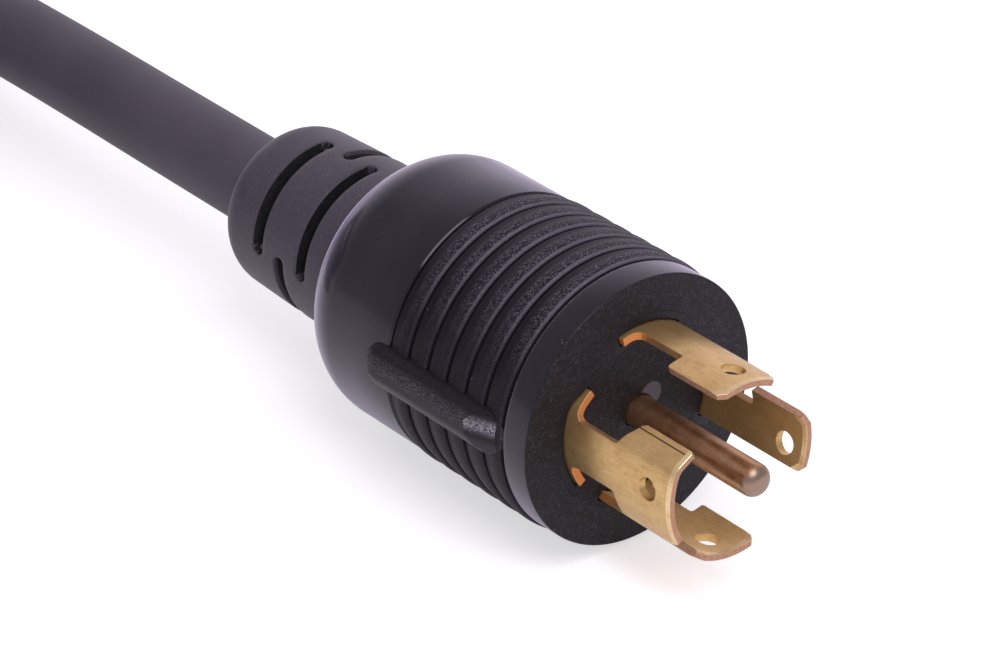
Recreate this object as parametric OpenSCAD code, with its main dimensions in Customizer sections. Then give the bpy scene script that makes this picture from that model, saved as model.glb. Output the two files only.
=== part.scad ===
// Shore power cord for a caravan or motorhome: a moulded locking plug with four curved
// blades and a round earth pin, 7.6 m of five-core cable kept as a tied hank, and the
// matching locking connector on its far end. Millimetres, +X out of the plug's face, +Z up.

/* [Plug body] */
// Diameter of the plug's front face
face_d = 54; // [50:0.5:58]
// Length of the smooth band behind the face
band_len = 6.4; // [4:0.2:9]
// Number of grip ribs on the plug and on the connector
rib_count = 6; // [5:1:7]
// Length of one grip rib along the body
rib_pitch = 5.45; // [5:0.05:6.5]
// Height of a grip rib above the band
rib_rise = 0.55; // [0.3:0.05:0.9]
// Width of the groove between two ribs
groove_w = 0.7; // [0.4:0.1:1.2]
// Depth of that groove below the band
groove_depth = 0.5; // [0.2:0.1:1]
// Height of the smooth shoulder above the band
shoulder_rise = 0.2; // [0:0.05:0.5]
// Length of the smooth shoulder behind the ribs
shoulder_len = 17.9; // [14:0.1:24]
// Radius of the dome that rounds the shoulder off
dome_r = 13; // [11:0.5:16]
// Length of the short neck behind the dome
neck_len = 2.2; // [1:0.1:4]
// Thickness of the grained skin on the front face
skin_t = 1.5; // [1:0.1:2.5]
// Chamfer on the front edge
edge_chamfer = 0.4; // [0.2:0.1:1]

/* [Aligning ridge] */
// Width of the ridge that shows how the plug is turned
ridge_w = 9; // [6:0.5:12]
// Height of the ridge above the shoulder
ridge_rise = 2.4; // [1.5:0.1:3.5]
// Length of the ridge, from its slanted front to its round rear end
ridge_len = 39.2; // [30:0.2:42]
// Length of the ridge's slanted front
ridge_slant = 8.4; // [5:0.2:12]
// Angle of the ridge round the plug
ridge_angle = 177.4; // [170:0.1:190]

/* [Strain relief] */
// Diameter of the relief's collar where it leaves the body
relief_d = 35.2; // [32:0.2:38]
// Diameter of the collar before its rounded end
relief_end_d = 34; // [30:0.2:36]
// Length of the collar behind the body
relief_len = 35.8; // [30:0.2:45]
// Radius of the collar's rounded end
relief_round = 7.2; // [3:0.2:7.4]
// Width of the flexing slots
slot_w = 2.9; // [2:0.1:3.5]
// Depth of the flexing slots
slot_depth = 5; // [3:0.1:6]
// Angle that one slot spans
slot_span = 97; // [80:1:110]
// Distance between two rows of slots
slot_pitch = 6.9; // [5.5:0.1:7.5]
// Distance from the neck to the first row of slots
slot_first = 7.1; // [5:0.1:9]
// Angle of the middle of the first slot
slot_angle = 134; // [90:1:180]

/* [Blades] */
// Diameter of the circle round the outside of the blades
blade_circle_d = 35.6; // [34:0.1:37]
// Thickness of a blade
blade_t = 1.6; // [1.2:0.1:2]
// Length of a line blade in front of the face
blade_len = 27; // [22:0.1:30]
// Extra length of the neutral blade
neutral_extra = 1.2; // [0.4:0.1:2]
// Distance from the face to the locking notch
notch_start = 1; // [0.6:0.1:2]
// Distance from the face to the end of the locking notch
notch_end = 12.8; // [10:0.1:14]
// Diameter of the hole in a blade
hole_d = 4.5; // [3:0.1:5]
// Distance from the face to the hole
hole_x = 21.7; // [19:0.1:23]
// Chamfer on a blade's tip corners
corner_chamfer = 1.3; // [0.8:0.1:2]
// Length of the bevel round a blade's tip
tip_bevel = 1.2; // [0.6:0.1:2]
// Length of the neutral blade's inward leg
leg_len = 3.2; // [2:0.1:5]
// Inner radius of the bend between the neutral blade and its leg
leg_bend_r = 2.2; // [1.6:0.1:3]

/* [Earth pin] */
// Diameter of the earth pin
pin_d = 6.35; // [5:0.05:7]
// Length of the earth pin in front of the face
pin_len = 33; // [29:0.5:37]
// Radius of the pin's rounded tip
pin_round = 2.4; // [1.5:0.1:2.5]

/* [Cable] */
// Outer diameter of the cable
cord_d = 18.3; // [16:0.1:18.4]
// Diameter of one insulated conductor
wire_d = 4.2; // [3.6:0.1:4.4]
// Distance of the conductors from the cable's axis
lay_r = 4.6; // [4.2:0.1:5]

/* [Hank] */
// Half the length of a straight run of the hank
run_half = 90; // [80:1:100]
// Distance from the hank's middle line to its outer run
hank_half_w = 90; // [88:0.5:95]
// How far each run is drawn in at the tie
waist = 18; // [8:1:19]
// Free space between neighbouring loops in a layer
loop_gap = 1.5; // [1.4:0.1:3]
// Free space between two layers
layer_gap = 0.6; // [0.5:0.1:1.5]

/* [Tie] */
// Width of the hook-and-loop strap
strap_w = 25; // [16:1:30]
// Thickness of the strap
strap_t = 1.2; // [0.8:0.1:1.3]
// Width of the plastic loop along the strap
loop_w = 14; // [10:0.5:20]
// Thickness of the plastic loop's bars
loop_bar = 3; // [2:0.5:4]

/* [Connector] */
// Diameter of the connector's front face
conn_face_d = 58; // [56:0.5:62]
// Length of the smooth band behind the connector's face
conn_band_len = 10; // [8:0.5:14]
// Length of the connector's smooth shoulder
conn_shoulder_len = 22; // [20:0.5:28]
// Thickness of the insert that closes the front
insert_t = 6; // [5:0.5:8]
// Diameter of the earth hole
earth_hole_d = 6.8; // [6.6:0.05:7.2]
// Free space round a blade in its slot
slot_play = 0.5; // [0.4:0.1:0.8]
// Thickness of a contact strip
contact_t = 1; // [0.8:0.1:1.2]
// Length of a contact strip
contact_len = 22; // [18:1:23]

/* [Hidden] */
$fn = 96;

// Clearances
fit_gap = 0.1;        // between nested round pieces
blade_gap = 0.3;      // round a blade or the pin where it leaves the face
rest_gap = 0.3;       // between soft pieces that lie on each other
over = 0.5;           // how far a cutter runs past the surface that it cuts

// Colours
RUBBER = [0.09, 0.09, 0.11];
RELIEF = [0.12, 0.12, 0.14];
CABLE = [0.15, 0.15, 0.17];
CARRIER = [0.07, 0.07, 0.08];
BRASS = [0.78, 0.62, 0.38];
COPPER = [0.42, 0.26, 0.18];
STRAP = [0.10, 0.10, 0.10];

// Radii
face_r = face_d / 2;
conn_face_r = conn_face_d / 2;
cord_r = cord_d / 2;
wire_r = wire_d / 2;
relief_r = relief_d / 2;
neck_step = 0.7;
neck_r = relief_r + neck_step;
blade_out = blade_circle_d / 2;
blade_in = blade_out - blade_t;
blade_mid = blade_out - blade_t / 2;
pin_r = pin_d / 2;
// the pin's shank is a little thinner than the pin
shank_step = 0.2;
shank_r = pin_r - shank_step;
crimp_t = 0.8;
crimp_in = wire_r + fit_gap;
crimp_out = crimp_in + crimp_t;
// the round chamber behind the skin holds the crimps and keeps a wall round them
pad_margin = 1.8;
chamber_wall = 1.4;
chamber_r = blade_out + pad_margin + chamber_wall;
insert_rim = 4.7;
insert_r = blade_out + slot_play + insert_rim;
// the relief's stem in the neck, and the anchor that holds it in the body
stem_step = 3.2;
stem_r = relief_r - stem_step;
anchor_step = 3.6;
anchor_r = stem_r + anchor_step;
anchor_len = 5;

// The plug along X, backwards from its face at 0
ribs_len = rib_count * rib_pitch;
function dome_len(r) = let(drop = min(dome_r, r - neck_r)) sqrt(dome_r * dome_r - pow(dome_r - drop, 2));
shoulder_end = -band_len - ribs_len - shoulder_len;
neck_end = shoulder_end - dome_len(face_r + shoulder_rise) - neck_len;
plug_end = neck_end - relief_len;
// distance from the shoulder's end to the back of the core
core_inset = 7;
core_end = shoulder_end + core_inset;
carrier_end = -12;
tab_len = 4;
tab_end = carrier_end - tab_len;
crimp_len = 10;
// the ridge starts a little behind the face
ridge_front = 6;

// Angles: 0 along +Y, 90 up. Each blade has start, end, notch start, notch end and hole.
BLADE_TOP = [60, 106.5, 94.1, 106.5, 81.2];
BLADE_RIGHT = [-23.4, 15.5, 3.2, 15.5, -10];
BLADE_BOTTOM = [-121.5, -74, -83.7, -74, -98.6];
BLADE_LEFT = [161.4, 213.5, 193.5, 213.5, 176.7];
function middle(b) = (b[0] + b[1]) / 2;
// where each conductor lies in the cable
LAY_X = 83;
LAY_Y = 11;
LAY_Z = -61;
LAY_NEUTRAL = 155;
LAY_EARTH = 227;

// The connector along X, backwards from its face at 0 in its own frame
conn_shoulder_end = -conn_band_len - ribs_len - conn_shoulder_len;
conn_neck_end = conn_shoulder_end - dome_len(conn_face_r + shoulder_rise) - neck_len;
conn_end = conn_neck_end - relief_len;
conn_core_end = conn_shoulder_end + core_inset;
contact_inset = 1;
contact_front = -insert_t - contact_inset;
contact_end = contact_front - contact_len;
contact_r = blade_out + slot_play + fit_gap;
contact_tab_len = 2;
contact_tab_end = contact_end - contact_tab_len;

// The hank
floor_z = -(face_r + rib_rise);
hank_x = -410;
hank_y = -84;
loop_step = cord_d + loop_gap;
layer_step = cord_d + layer_gap;
// the runs rise at the waist, so that the strap fits under them
waist_lift = strap_t + 0.6;
hank_start = -0.125;
hank_stop = 8.5 + 2 / 24;
hank_rings = 24;

// Two loops spiral in, two out, two in and two out again, a layer each
function spiral(v) = v < 2 ? v : v > 6 ? 8 - v : abs(v - 4);
function ease(u, a, b) = u < a ? 0 : u > b ? 1 : (1 - cos(180 * (u - a) / (b - a))) / 2;
function climbs(u) = ease(u, 2.375, 2.625) + ease(u, 4.375, 4.625) + ease(u, 6.375, 6.625);
// x, y and side of a loop of half width r: run, fold, run, fold
function loop_x(f, r) =
    f < 0.125 ? -run_half * f * 8
    : f < 0.375 ? -run_half - r * sin(720 * (f - 0.125))
    : f < 0.625 ? run_half * (8 * f - 4)
    : f < 0.875 ? run_half + r * sin(720 * (f - 0.625))
    : run_half * (8 - 8 * f);
function loop_y(f, r) =
    f < 0.125 ? r
    : f < 0.375 ? r * cos(720 * (f - 0.125))
    : f < 0.625 ? -r
    : f < 0.875 ? -r * cos(720 * (f - 0.625))
    : r;
function drawn_in(x) = abs(x) < run_half ? pow(cos(90 * x / run_half), 2) : 0;
function hank_point(u) =
    let(
        f = u - floor(u + 1e-9),
        r = hank_half_w - loop_step * spiral(u - 0.5),
        x = loop_x(f, r),
        y = loop_y(f, r),
        w = drawn_in(x)
    )
    [
        hank_x + x,
        hank_y + y - sign(y) * waist * w,
        floor_z + cord_r + layer_step * climbs(u) + waist_lift * w * w
    ];
hank_steps = round((hank_stop - hank_start) * hank_rings);
hank_route = [for (i = [0:hank_steps]) hank_point(hank_start + i / hank_rings)];

// The least distance of a point to the stretch between a and b
function reach(p, a, b) =
    let(d = b - a, t = min(1, max(0, (p - a) * d / (d * d)))) norm(p - a - t * d);
hank_gap = min([
    for (i = [0:hank_steps])
        for (j = [0:hank_steps - 1])
            if (j > i + 4 || j < i - 5) reach(hank_route[i], hank_route[j], hank_route[j + 1])
]) - cord_d;
echo(hank_least_gap = hank_gap);

// The free stretches, straight for a diameter where they meet the hank
first_way = hank_route[0] - hank_route[1];
last_way = hank_route[hank_steps] - hank_route[hank_steps - 1];
lead_route = [
    [plug_end, 0, 0],
    [-145, 0, 0],
    [-185, 0, 0],
    [-215, 0, -0.5],
    [-240, 4, -4.5],
    [-268, 13, -13],
    hank_route[0] + 20 * first_way / norm(first_way),
    hank_route[0]
];
tail_route = [
    hank_route[hank_steps],
    hank_route[hank_steps] + 20 * last_way / norm(last_way),
    [-298, -176, 50],
    [-268, -166, 53.5],
    [-242, -139, 57.5],
    [-231, -99, 62],
    [-242, -59, 68],
    [-270, -30, 75],
    [-312, -20, 80.5],
    [-334, -20, 80.5]
];
// the connector lies on the hank and points back along it
conn_rear = tail_route[9];

// The strap goes round the waist of the hank
strap_y0 = hank_y - hank_half_w + waist - cord_r - 2.4;
strap_y1 = hank_y + hank_half_w + loop_step / 2 - waist + cord_r + 2.4;
strap_z0 = floor_z + strap_t;
strap_z1 = floor_z + cord_d + 3 * layer_step + waist_lift + rest_gap;
strap_round = cord_r;
// the plastic loop lies on the strap, and the strap's free end beside it
loop_y0 = -150;
free_end_y = -60;

// Maps a shape drawn round Z onto the X axis: its x becomes Y and its y becomes Z
module along_x() {
    rotate([90, 0, 90]) children();
}

module turned() {
    along_x() rotate_extrude() children();
}

// A ring's slice between two angles, as a flat shape
module ring_slice(r0, r1, a0, a1) {
    far = 2 * r1;
    steps = 4;
    intersection() {
        difference() {
            circle(r = r1);
            circle(r = r0);
        }
        polygon(concat([[0, 0]], [for (i = [0:steps]) let(a = a0 + (a1 - a0) * i / steps) far * [cos(a), sin(a)]]));
    }
}

// Outline of a moulded body, radius against X
module shell_outline(r, band, shoulder) {
    ribs_front = -band;
    ribs_back = ribs_front - ribs_len;
    dome_start = ribs_back - shoulder;
    r_shoulder = r + shoulder_rise;
    dome_back = dome_start - dome_len(r_shoulder);
    half = rib_pitch / 2;
    rib_r = (half * half + rib_rise * rib_rise) / (2 * rib_rise);
    difference() {
        union() {
            polygon([[0, 0], [r - edge_chamfer, 0], [r, -edge_chamfer], [r, ribs_back], [0, ribs_back]]);
            for (i = [0:rib_count - 1])
                translate([r + rib_rise - rib_r, ribs_front - (i + 0.5) * rib_pitch]) circle(r = rib_r);
            translate([0, dome_start]) square([r_shoulder, shoulder]);
            translate([0, dome_back]) square([r_shoulder - dome_r, dome_start - dome_back]);
            intersection() {
                translate([r_shoulder - dome_r, dome_start]) circle(r = dome_r);
                translate([0, dome_back]) square([r_shoulder, dome_start - dome_back]);
            }
            translate([0, dome_back - neck_len]) square([neck_r, neck_len + over]);
        }
        for (i = [0:rib_count])
            translate([r - groove_depth, ribs_front - i * rib_pitch - groove_w / 2])
                square([groove_depth + rib_rise + over, groove_w]);
    }
}

// The straight aligning ridge, with a slanted front and a round rear end
module ridge(r, band) {
    foot = r - 3;
    crest = r + shoulder_rise + ridge_rise;
    front = -ridge_front - band + band_len;
    back = front - ridge_len;
    intersection() {
        linear_extrude(height = ridge_w, center = true)
            polygon([[back, foot], [back, crest], [front - ridge_slant, crest], [front, r], [front, foot]]);
        rotate([-90, 0, 0]) linear_extrude(height = crest + over) {
            translate([back + ridge_w / 2, 0]) circle(d = ridge_w);
            translate([back + ridge_w / 2, -ridge_w / 2]) square([ridge_len, ridge_w]);
        }
    }
}

// The chamber for core, anchor and stem behind a front of the given thickness
module chamber(front, r, back, neck) {
    turned() {
        translate([0, back]) square([r, -front - back]);
        translate([0, back - anchor_len]) square([anchor_r, anchor_len + over]);
        translate([0, neck - over]) square([stem_r + fit_gap, back - neck]);
    }
}

// A strain relief from its anchor in the body to its rounded rear end
module relief(back, neck) {
    end = neck - relief_len;
    round_start = end + relief_round;
    taper_start = neck - relief_len / 3;
    r_end = relief_end_d / 2;
    difference() {
        union() {
            turned() {
                translate([0, back - anchor_len]) square([anchor_r - fit_gap, anchor_len]);
                translate([0, neck]) square([stem_r, back - neck]);
                polygon([[0, neck], [relief_r, neck], [relief_r, taper_start], [r_end, round_start], [0, round_start]]);
            }
            turned() {
                translate([0, end]) square([r_end - relief_round, relief_round]);
                intersection() {
                    translate([r_end - relief_round, round_start]) circle(r = relief_round);
                    translate([0, end]) square([r_end, relief_round]);
                }
            }
        }
        translate([end - over, 0, 0]) rotate([0, 90, 0]) cylinder(r = cord_r + fit_gap, h = back - end + 2 * over);
        for (row = [0:2])
            for (side = [0:1])
                relief_slot(neck - slot_first - row * slot_pitch, slot_angle + 180 * side + (row == 1 ? 90 : 0));
    }
}

// One flexing slot, its middle at angle a
module relief_slot(x, a) {
    slot_floor = relief_r - slot_depth;
    along_x() translate([0, 0, x]) rotate([0, 0, a - slot_span / 2]) rotate_extrude(angle = slot_span)
        translate([slot_floor, -slot_w / 2]) square([slot_depth + over, slot_w]);
}

// The neutral blade's bend and inward leg, drawn at the blade's first angle
module leg_outline(grow = 0) {
    a = BLADE_LEFT[0];
    turn = a - 90 - 30;
    rotate([0, 0, a]) translate([blade_in - leg_bend_r, 0]) {
        rotate([0, 0, -turn]) ring_slice(leg_bend_r - grow, leg_bend_r + blade_t + grow, 0, turn + 2);
        rotate([0, 0, -turn]) translate([leg_bend_r - grow, -leg_len - grow])
            square([blade_t + 2 * grow, leg_len + grow + 0.02]);
    }
}

// The flat cross-section of a blade, or of the slot that it goes into
module blade_outline(b, grow = 0, leg = false) {
    more = grow / blade_mid * 180 / PI;
    ring_slice(blade_in - grow, blade_out + grow, b[0] - (leg ? 0 : more), b[1] + more);
    if (leg) leg_outline(grow);
}

// A curved blade with its tip bevel, hole, locking notch and narrow rear tab
module blade(b, length, leg = false) {
    bevel = blade_t / 4;
    corner = corner_chamfer * sqrt(2);
    tab = asin((crimp_out - fit_gap) / blade_mid);
    difference() {
        union() {
            intersection() {
                along_x() translate([0, 0, carrier_end]) linear_extrude(height = length - carrier_end)
                    blade_outline(b);
                turned() polygon([
                    [blade_in, carrier_end], [blade_out, carrier_end],
                    [blade_out, length - tip_bevel], [blade_out - bevel, length],
                    [blade_in + bevel, length], [blade_in, length - tip_bevel]
                ]);
            }
            along_x() translate([0, 0, tab_end]) linear_extrude(height = carrier_end - tab_end + over)
                ring_slice(blade_in, blade_out, middle(b) - tab, middle(b) + tab);
            if (leg) along_x() translate([0, 0, carrier_end]) linear_extrude(height = length - carrier_end)
                leg_outline();
        }
        along_x() translate([0, 0, notch_start]) linear_extrude(height = notch_end - notch_start)
            ring_slice(blade_in - over, blade_out + over, b[2], b[3] + 3);
        rotate([b[4], 0, 0]) translate([hole_x, blade_in - 2, 0]) rotate([-90, 0, 0])
            cylinder(d = hole_d, h = blade_t + 4);
        for (a = leg ? [b[1]] : [b[0], b[1]])
            rotate([a, 0, 0]) translate([length, blade_mid, 0]) rotate([0, 45, 0])
                cube([corner, blade_t + 3, corner], center = true);
        if (leg) along_x() translate([0, 0, notch_start]) linear_extrude(height = notch_end - notch_start)
            rotate([0, 0, b[0]]) translate([blade_in - 6, -8]) square([12, 7.4]);
    }
}

// The cross-sections of all four blades, grown by a clearance
module all_blades(grow) {
    blade_outline(BLADE_TOP, grow);
    blade_outline(BLADE_RIGHT, grow);
    blade_outline(BLADE_BOTTOM, grow);
    blade_outline(BLADE_LEFT, grow, true);
}

// Crimp places in the face plane: four round the axis and one on it
function place(b) = blade_mid * [cos(middle(b)), sin(middle(b))];
CRIMPS = [place(BLADE_TOP), place(BLADE_RIGHT), place(BLADE_BOTTOM), place(BLADE_LEFT), [0, 0]];

// Points of a conductor from the cable's end to its crimp, straight at both ends
function wire_route(at, lay, front, back) =
    let(lay_at = lay_r * [cos(lay), sin(lay)], bend_back = back + 4, bend_front = front - crimp_len)
    concat(
        [[back, lay_at[0], lay_at[1]]],
        [
            for (t = [0:1 / 6:1.01])
                let(p = lay_at + (at - lay_at) * ease(t, 0, 1))
                [bend_back + (bend_front - bend_back) * t, p[0], p[1]]
        ],
        [[front - 2, at[0], at[1]]]
    );

module wire(at, lay, front, back) {
    tube(wire_route(at, lay, front, back), wire_r, 12);
}

// The room in which the conductors spread from the cable's end to their crimps
module funnel(back, front) {
    translate([back - over, 0, 0]) rotate([0, 90, 0])
        cylinder(r1 = lay_r + wire_r + fit_gap, r2 = blade_mid + wire_r + fit_gap, h = front - back + over);
}

module crimps(at, front) {
    for (p = at)
        translate([front - crimp_len, p[0], p[1]]) rotate([0, 90, 0]) difference() {
            cylinder(r = crimp_out, h = crimp_len);
            translate([0, 0, -over]) cylinder(r = crimp_in, h = crimp_len + 2 * over);
        }
}

// Rings of a tube along a route, square to it, and the faces between them
function ring(p, way, r, sides) =
    let(
        side = [way[1], -way[0], 0] / norm([way[0], way[1]]),
        up = cross(side, way) / norm(way)
    )
    [for (k = [0:sides - 1]) p + r * (cos(90 + 360 * k / sides) * side + sin(90 + 360 * k / sides) * up)];
function unit(v) = v / norm(v);
function way_at(route, i) =
    let(n = len(route) - 1)
    i == 0 ? unit(route[1] - route[0])
    : i == n ? unit(route[n] - route[n - 1])
    : unit(unit(route[i + 1] - route[i]) + unit(route[i] - route[i - 1]));

module tube(route, r, sides) {
    last = len(route) - 1;
    points = [for (i = [0:last]) each ring(route[i], way_at(route, i), r, sides)];
    sleeve = [
        for (i = [0:last - 1])
            for (k = [0:sides - 1])
                let(a = i * sides + k, b = i * sides + (k + 1) % sides)
                each [[a, a + sides, b], [b, a + sides, b + sides]]
    ];
    caps = [
        for (k = [1:sides - 2])
            each [[0, k, k + 1], [last * sides, last * sides + k + 1, last * sides + k]]
    ];
    polyhedron(points = points, faces = concat(sleeve, caps));
}

// A flat rectangle with round corners
module round_rect(x0, y0, x1, y1, r) {
    translate([x0 + r, y0]) square([x1 - x0 - 2 * r, y1 - y0]);
    translate([x0, y0 + r]) square([x1 - x0, y1 - y0 - 2 * r]);
    for (x = [x0 + r, x1 - r])
        for (y = [y0 + r, y1 - r])
            translate([x, y]) circle(r = r);
}

// Plug

module plug_body() {
    color(RUBBER) difference() {
        union() {
            turned() shell_outline(face_r, band_len, shoulder_len);
            rotate([ridge_angle, 0, 0]) ridge(face_r, band_len);
        }
        chamber(skin_t, chamber_r, core_end, neck_end);
        along_x() translate([0, 0, -skin_t - over]) linear_extrude(height = skin_t + 2 * over)
            all_blades(pad_margin);
        translate([-skin_t - over, 0, 0]) rotate([0, 90, 0]) cylinder(r = pin_r + blade_gap, h = skin_t + 2 * over);
    }
}

module plug_relief() {
    color(RELIEF) relief(core_end, neck_end);
}

module plug_carrier() {
    color(CARRIER) difference() {
        union() {
            translate([carrier_end, 0, 0]) rotate([0, 90, 0])
                cylinder(r = chamber_r - fit_gap, h = -skin_t - carrier_end);
            along_x() translate([0, 0, -skin_t - over]) linear_extrude(height = skin_t + over)
                all_blades(pad_margin - fit_gap);
        }
        along_x() translate([0, 0, carrier_end - over]) linear_extrude(height = over - carrier_end + over)
            all_blades(blade_gap);
        translate([carrier_end - over, 0, 0]) rotate([0, 90, 0])
            cylinder(r = shank_r + fit_gap, h = over - carrier_end + over);
    }
}

module plug_core() {
    crimp_end = tab_end - crimp_len;
    color(CARRIER) difference() {
        translate([core_end, 0, 0]) rotate([0, 90, 0]) cylinder(r = chamber_r - fit_gap, h = carrier_end - core_end);
        for (p = CRIMPS)
            translate([crimp_end - over, p[0], p[1]]) rotate([0, 90, 0])
                cylinder(r = crimp_out + fit_gap, h = carrier_end - crimp_end + 2 * over);
        funnel(core_end, crimp_end);
    }
}

module plug_jacket() {
    color(CABLE) translate([plug_end, 0, 0]) rotate([0, 90, 0]) cylinder(r = cord_r, h = core_end - plug_end);
}

module plug_crimps() {
    color(BRASS) crimps(CRIMPS, tab_end);
}

module blade_x() {
    color(BRASS) blade(BLADE_TOP, blade_len);
}

module blade_y() {
    color(BRASS) blade(BLADE_RIGHT, blade_len);
}

module blade_z() {
    color(BRASS) blade(BLADE_BOTTOM, blade_len);
}

module blade_neutral() {
    color(BRASS) blade(BLADE_LEFT, blade_len + neutral_extra, true);
}

module earth_pin() {
    color(COPPER) {
        turned() {
            square([pin_r, pin_len - pin_round]);
            square([pin_r - pin_round, pin_len]);
            intersection() {
                translate([pin_r - pin_round, pin_len - pin_round]) circle(r = pin_round);
                square([pin_r, pin_len]);
            }
        }
        translate([tab_end, 0, 0]) rotate([0, 90, 0]) cylinder(r = shank_r, h = over - tab_end);
    }
}

module plug_wire_x() {
    color("black") wire(CRIMPS[0], LAY_X, tab_end, core_end);
}

module plug_wire_y() {
    color("red") wire(CRIMPS[1], LAY_Y, tab_end, core_end);
}

module plug_wire_z() {
    color("orange") wire(CRIMPS[2], LAY_Z, tab_end, core_end);
}

module plug_wire_neutral() {
    color("white") wire(CRIMPS[3], LAY_NEUTRAL, tab_end, core_end);
}

module plug_wire_earth() {
    color("green") wire(CRIMPS[4], LAY_EARTH, tab_end, core_end);
}

// Cable and tie

module cord_lead() {
    color(CABLE) tube(lead_route, cord_r, 10);
}

module cord_hank() {
    color(CABLE) tube(hank_route, cord_r, 6);
}

module cord_tail() {
    color(CABLE) tube(tail_route, cord_r, 10);
}

module tie_strap() {
    color(STRAP) {
        along_x() translate([0, 0, hank_x - strap_w / 2]) linear_extrude(height = strap_w) difference() {
            round_rect(strap_y0 - strap_t, strap_z0 - strap_t, strap_y1 + strap_t, strap_z1 + strap_t, strap_round + strap_t);
            round_rect(strap_y0, strap_z0, strap_y1, strap_z1, strap_round);
        }
        // the free end, folded back over the strap
        translate([hank_x - strap_w / 2, loop_y0 + loop_w, strap_z1 + strap_t])
            cube([strap_w, free_end_y - loop_y0 - loop_w, strap_t]);
    }
}

module tie_loop() {
    side = strap_w + 2 * loop_bar + 1;
    color(CARRIER) translate([hank_x - side / 2, loop_y0, strap_z1 + strap_t]) difference() {
        cube([side, loop_w, loop_bar]);
        translate([loop_bar, loop_bar, -over]) cube([side - 2 * loop_bar, loop_w - 2 * loop_bar, loop_bar + 2 * over]);
    }
}

// Connector, modelled with its face at 0 towards +X and laid on the hank

module lay_connector() {
    translate(conn_rear + [conn_end, 0, 0]) rotate([0, 0, 180]) children();
}

// the slots are the plug's blades seen from the other side
module facing() {
    mirror([1, 0]) children();
}
FACING = [for (p = CRIMPS) [-p[0], p[1]]];

module connector_body() {
    color(RUBBER) lay_connector() difference() {
        union() {
            turned() shell_outline(conn_face_r, conn_band_len, conn_shoulder_len);
            rotate([180 - ridge_angle, 0, 0]) ridge(conn_face_r, conn_band_len);
        }
        chamber(-over, insert_r, conn_core_end, conn_neck_end);
    }
}

module connector_relief() {
    color(RELIEF) lay_connector() relief(conn_core_end, conn_neck_end);
}

module connector_insert() {
    color(CARRIER) lay_connector() difference() {
        translate([-insert_t, 0, 0]) rotate([0, 90, 0]) cylinder(r = insert_r - fit_gap, h = insert_t);
        along_x() translate([0, 0, -insert_t - over]) linear_extrude(height = insert_t + 2 * over)
            facing() all_blades(slot_play);
        translate([-insert_t - over, 0, 0]) rotate([0, 90, 0]) cylinder(d = earth_hole_d, h = insert_t + 2 * over);
    }
}

module connector_core() {
    crimp_end = contact_tab_end - crimp_len;
    sleeve_r = earth_hole_d / 2 + contact_t + fit_gap;
    color(CARRIER) lay_connector() difference() {
        translate([conn_core_end, 0, 0]) rotate([0, 90, 0])
            cylinder(r = insert_r - fit_gap, h = -insert_t - conn_core_end);
        // pockets for the blades and their contacts
        along_x() translate([0, 0, contact_end]) linear_extrude(height = -insert_t - contact_end + over)
            facing() all_blades(slot_play + contact_t + 2 * fit_gap);
        translate([contact_end, 0, 0]) rotate([0, 90, 0]) cylinder(r = sleeve_r, h = -insert_t - contact_end + over);
        for (p = FACING)
            translate([crimp_end - over, p[0], p[1]]) rotate([0, 90, 0])
                cylinder(r = crimp_out + fit_gap, h = crimp_len + contact_tab_len + 2 * over);
        funnel(conn_core_end, crimp_end);
    }
}

module connector_jacket() {
    color(CABLE) lay_connector() translate([conn_end, 0, 0]) rotate([0, 90, 0])
        cylinder(r = cord_r, h = conn_core_end - conn_end);
}

module connector_crimps() {
    color(BRASS) lay_connector() crimps(FACING, contact_tab_end);
}

// A curved contact strip on the outside of a blade's pocket, with a tab to its crimp
module contact(b) {
    tab = asin((crimp_out - fit_gap) / blade_mid);
    color(BRASS) lay_connector() along_x() facing() {
        translate([0, 0, contact_end]) linear_extrude(height = contact_len)
            ring_slice(contact_r, contact_r + contact_t, b[0] + 2, b[1] - 2);
        translate([0, 0, contact_tab_end]) linear_extrude(height = contact_tab_len + over)
            ring_slice(contact_r, contact_r + contact_t, middle(b) - tab / 2, middle(b) + tab / 2);
    }
}

module contact_x() {
    contact(BLADE_TOP);
}

module contact_y() {
    contact(BLADE_RIGHT);
}

module contact_z() {
    contact(BLADE_BOTTOM);
}

module contact_neutral() {
    contact(BLADE_LEFT);
}

module contact_earth() {
    bore = earth_hole_d / 2;
    color(BRASS) lay_connector() {
        translate([contact_end, 0, 0]) rotate([0, 90, 0]) difference() {
            cylinder(r = bore + contact_t, h = contact_len + contact_inset);
            translate([0, 0, contact_tab_len]) cylinder(r = bore, h = contact_len + contact_inset);
        }
        translate([contact_tab_end, 0, 0]) rotate([0, 90, 0]) cylinder(r = crimp_out, h = contact_tab_len + over);
    }
}

// A conductor of the connector, laid as the plug's is but seen from the other side
module facing_wire(i, lay) {
    lay_connector() wire(FACING[i], 180 - lay, contact_tab_end, conn_core_end);
}

module connector_wire_x() {
    color("black") facing_wire(0, LAY_X);
}

module connector_wire_y() {
    color("red") facing_wire(1, LAY_Y);
}

module connector_wire_z() {
    color("orange") facing_wire(2, LAY_Z);
}

module connector_wire_neutral() {
    color("white") facing_wire(3, LAY_NEUTRAL);
}

module connector_wire_earth() {
    color("green") facing_wire(4, LAY_EARTH);
}

plug_body();
plug_relief();
plug_carrier();
plug_core();
plug_jacket();
plug_crimps();
blade_x();
blade_y();
blade_z();
blade_neutral();
earth_pin();
plug_wire_x();
plug_wire_y();
plug_wire_z();
plug_wire_neutral();
plug_wire_earth();
cord_lead();
cord_hank();
cord_tail();
tie_strap();
tie_loop();
connector_body();
connector_relief();
connector_insert();
connector_core();
connector_jacket();
connector_crimps();
contact_x();
contact_y();
contact_z();
contact_neutral();
contact_earth();
connector_wire_x();
connector_wire_y();
connector_wire_z();
connector_wire_neutral();
connector_wire_earth();
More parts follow.
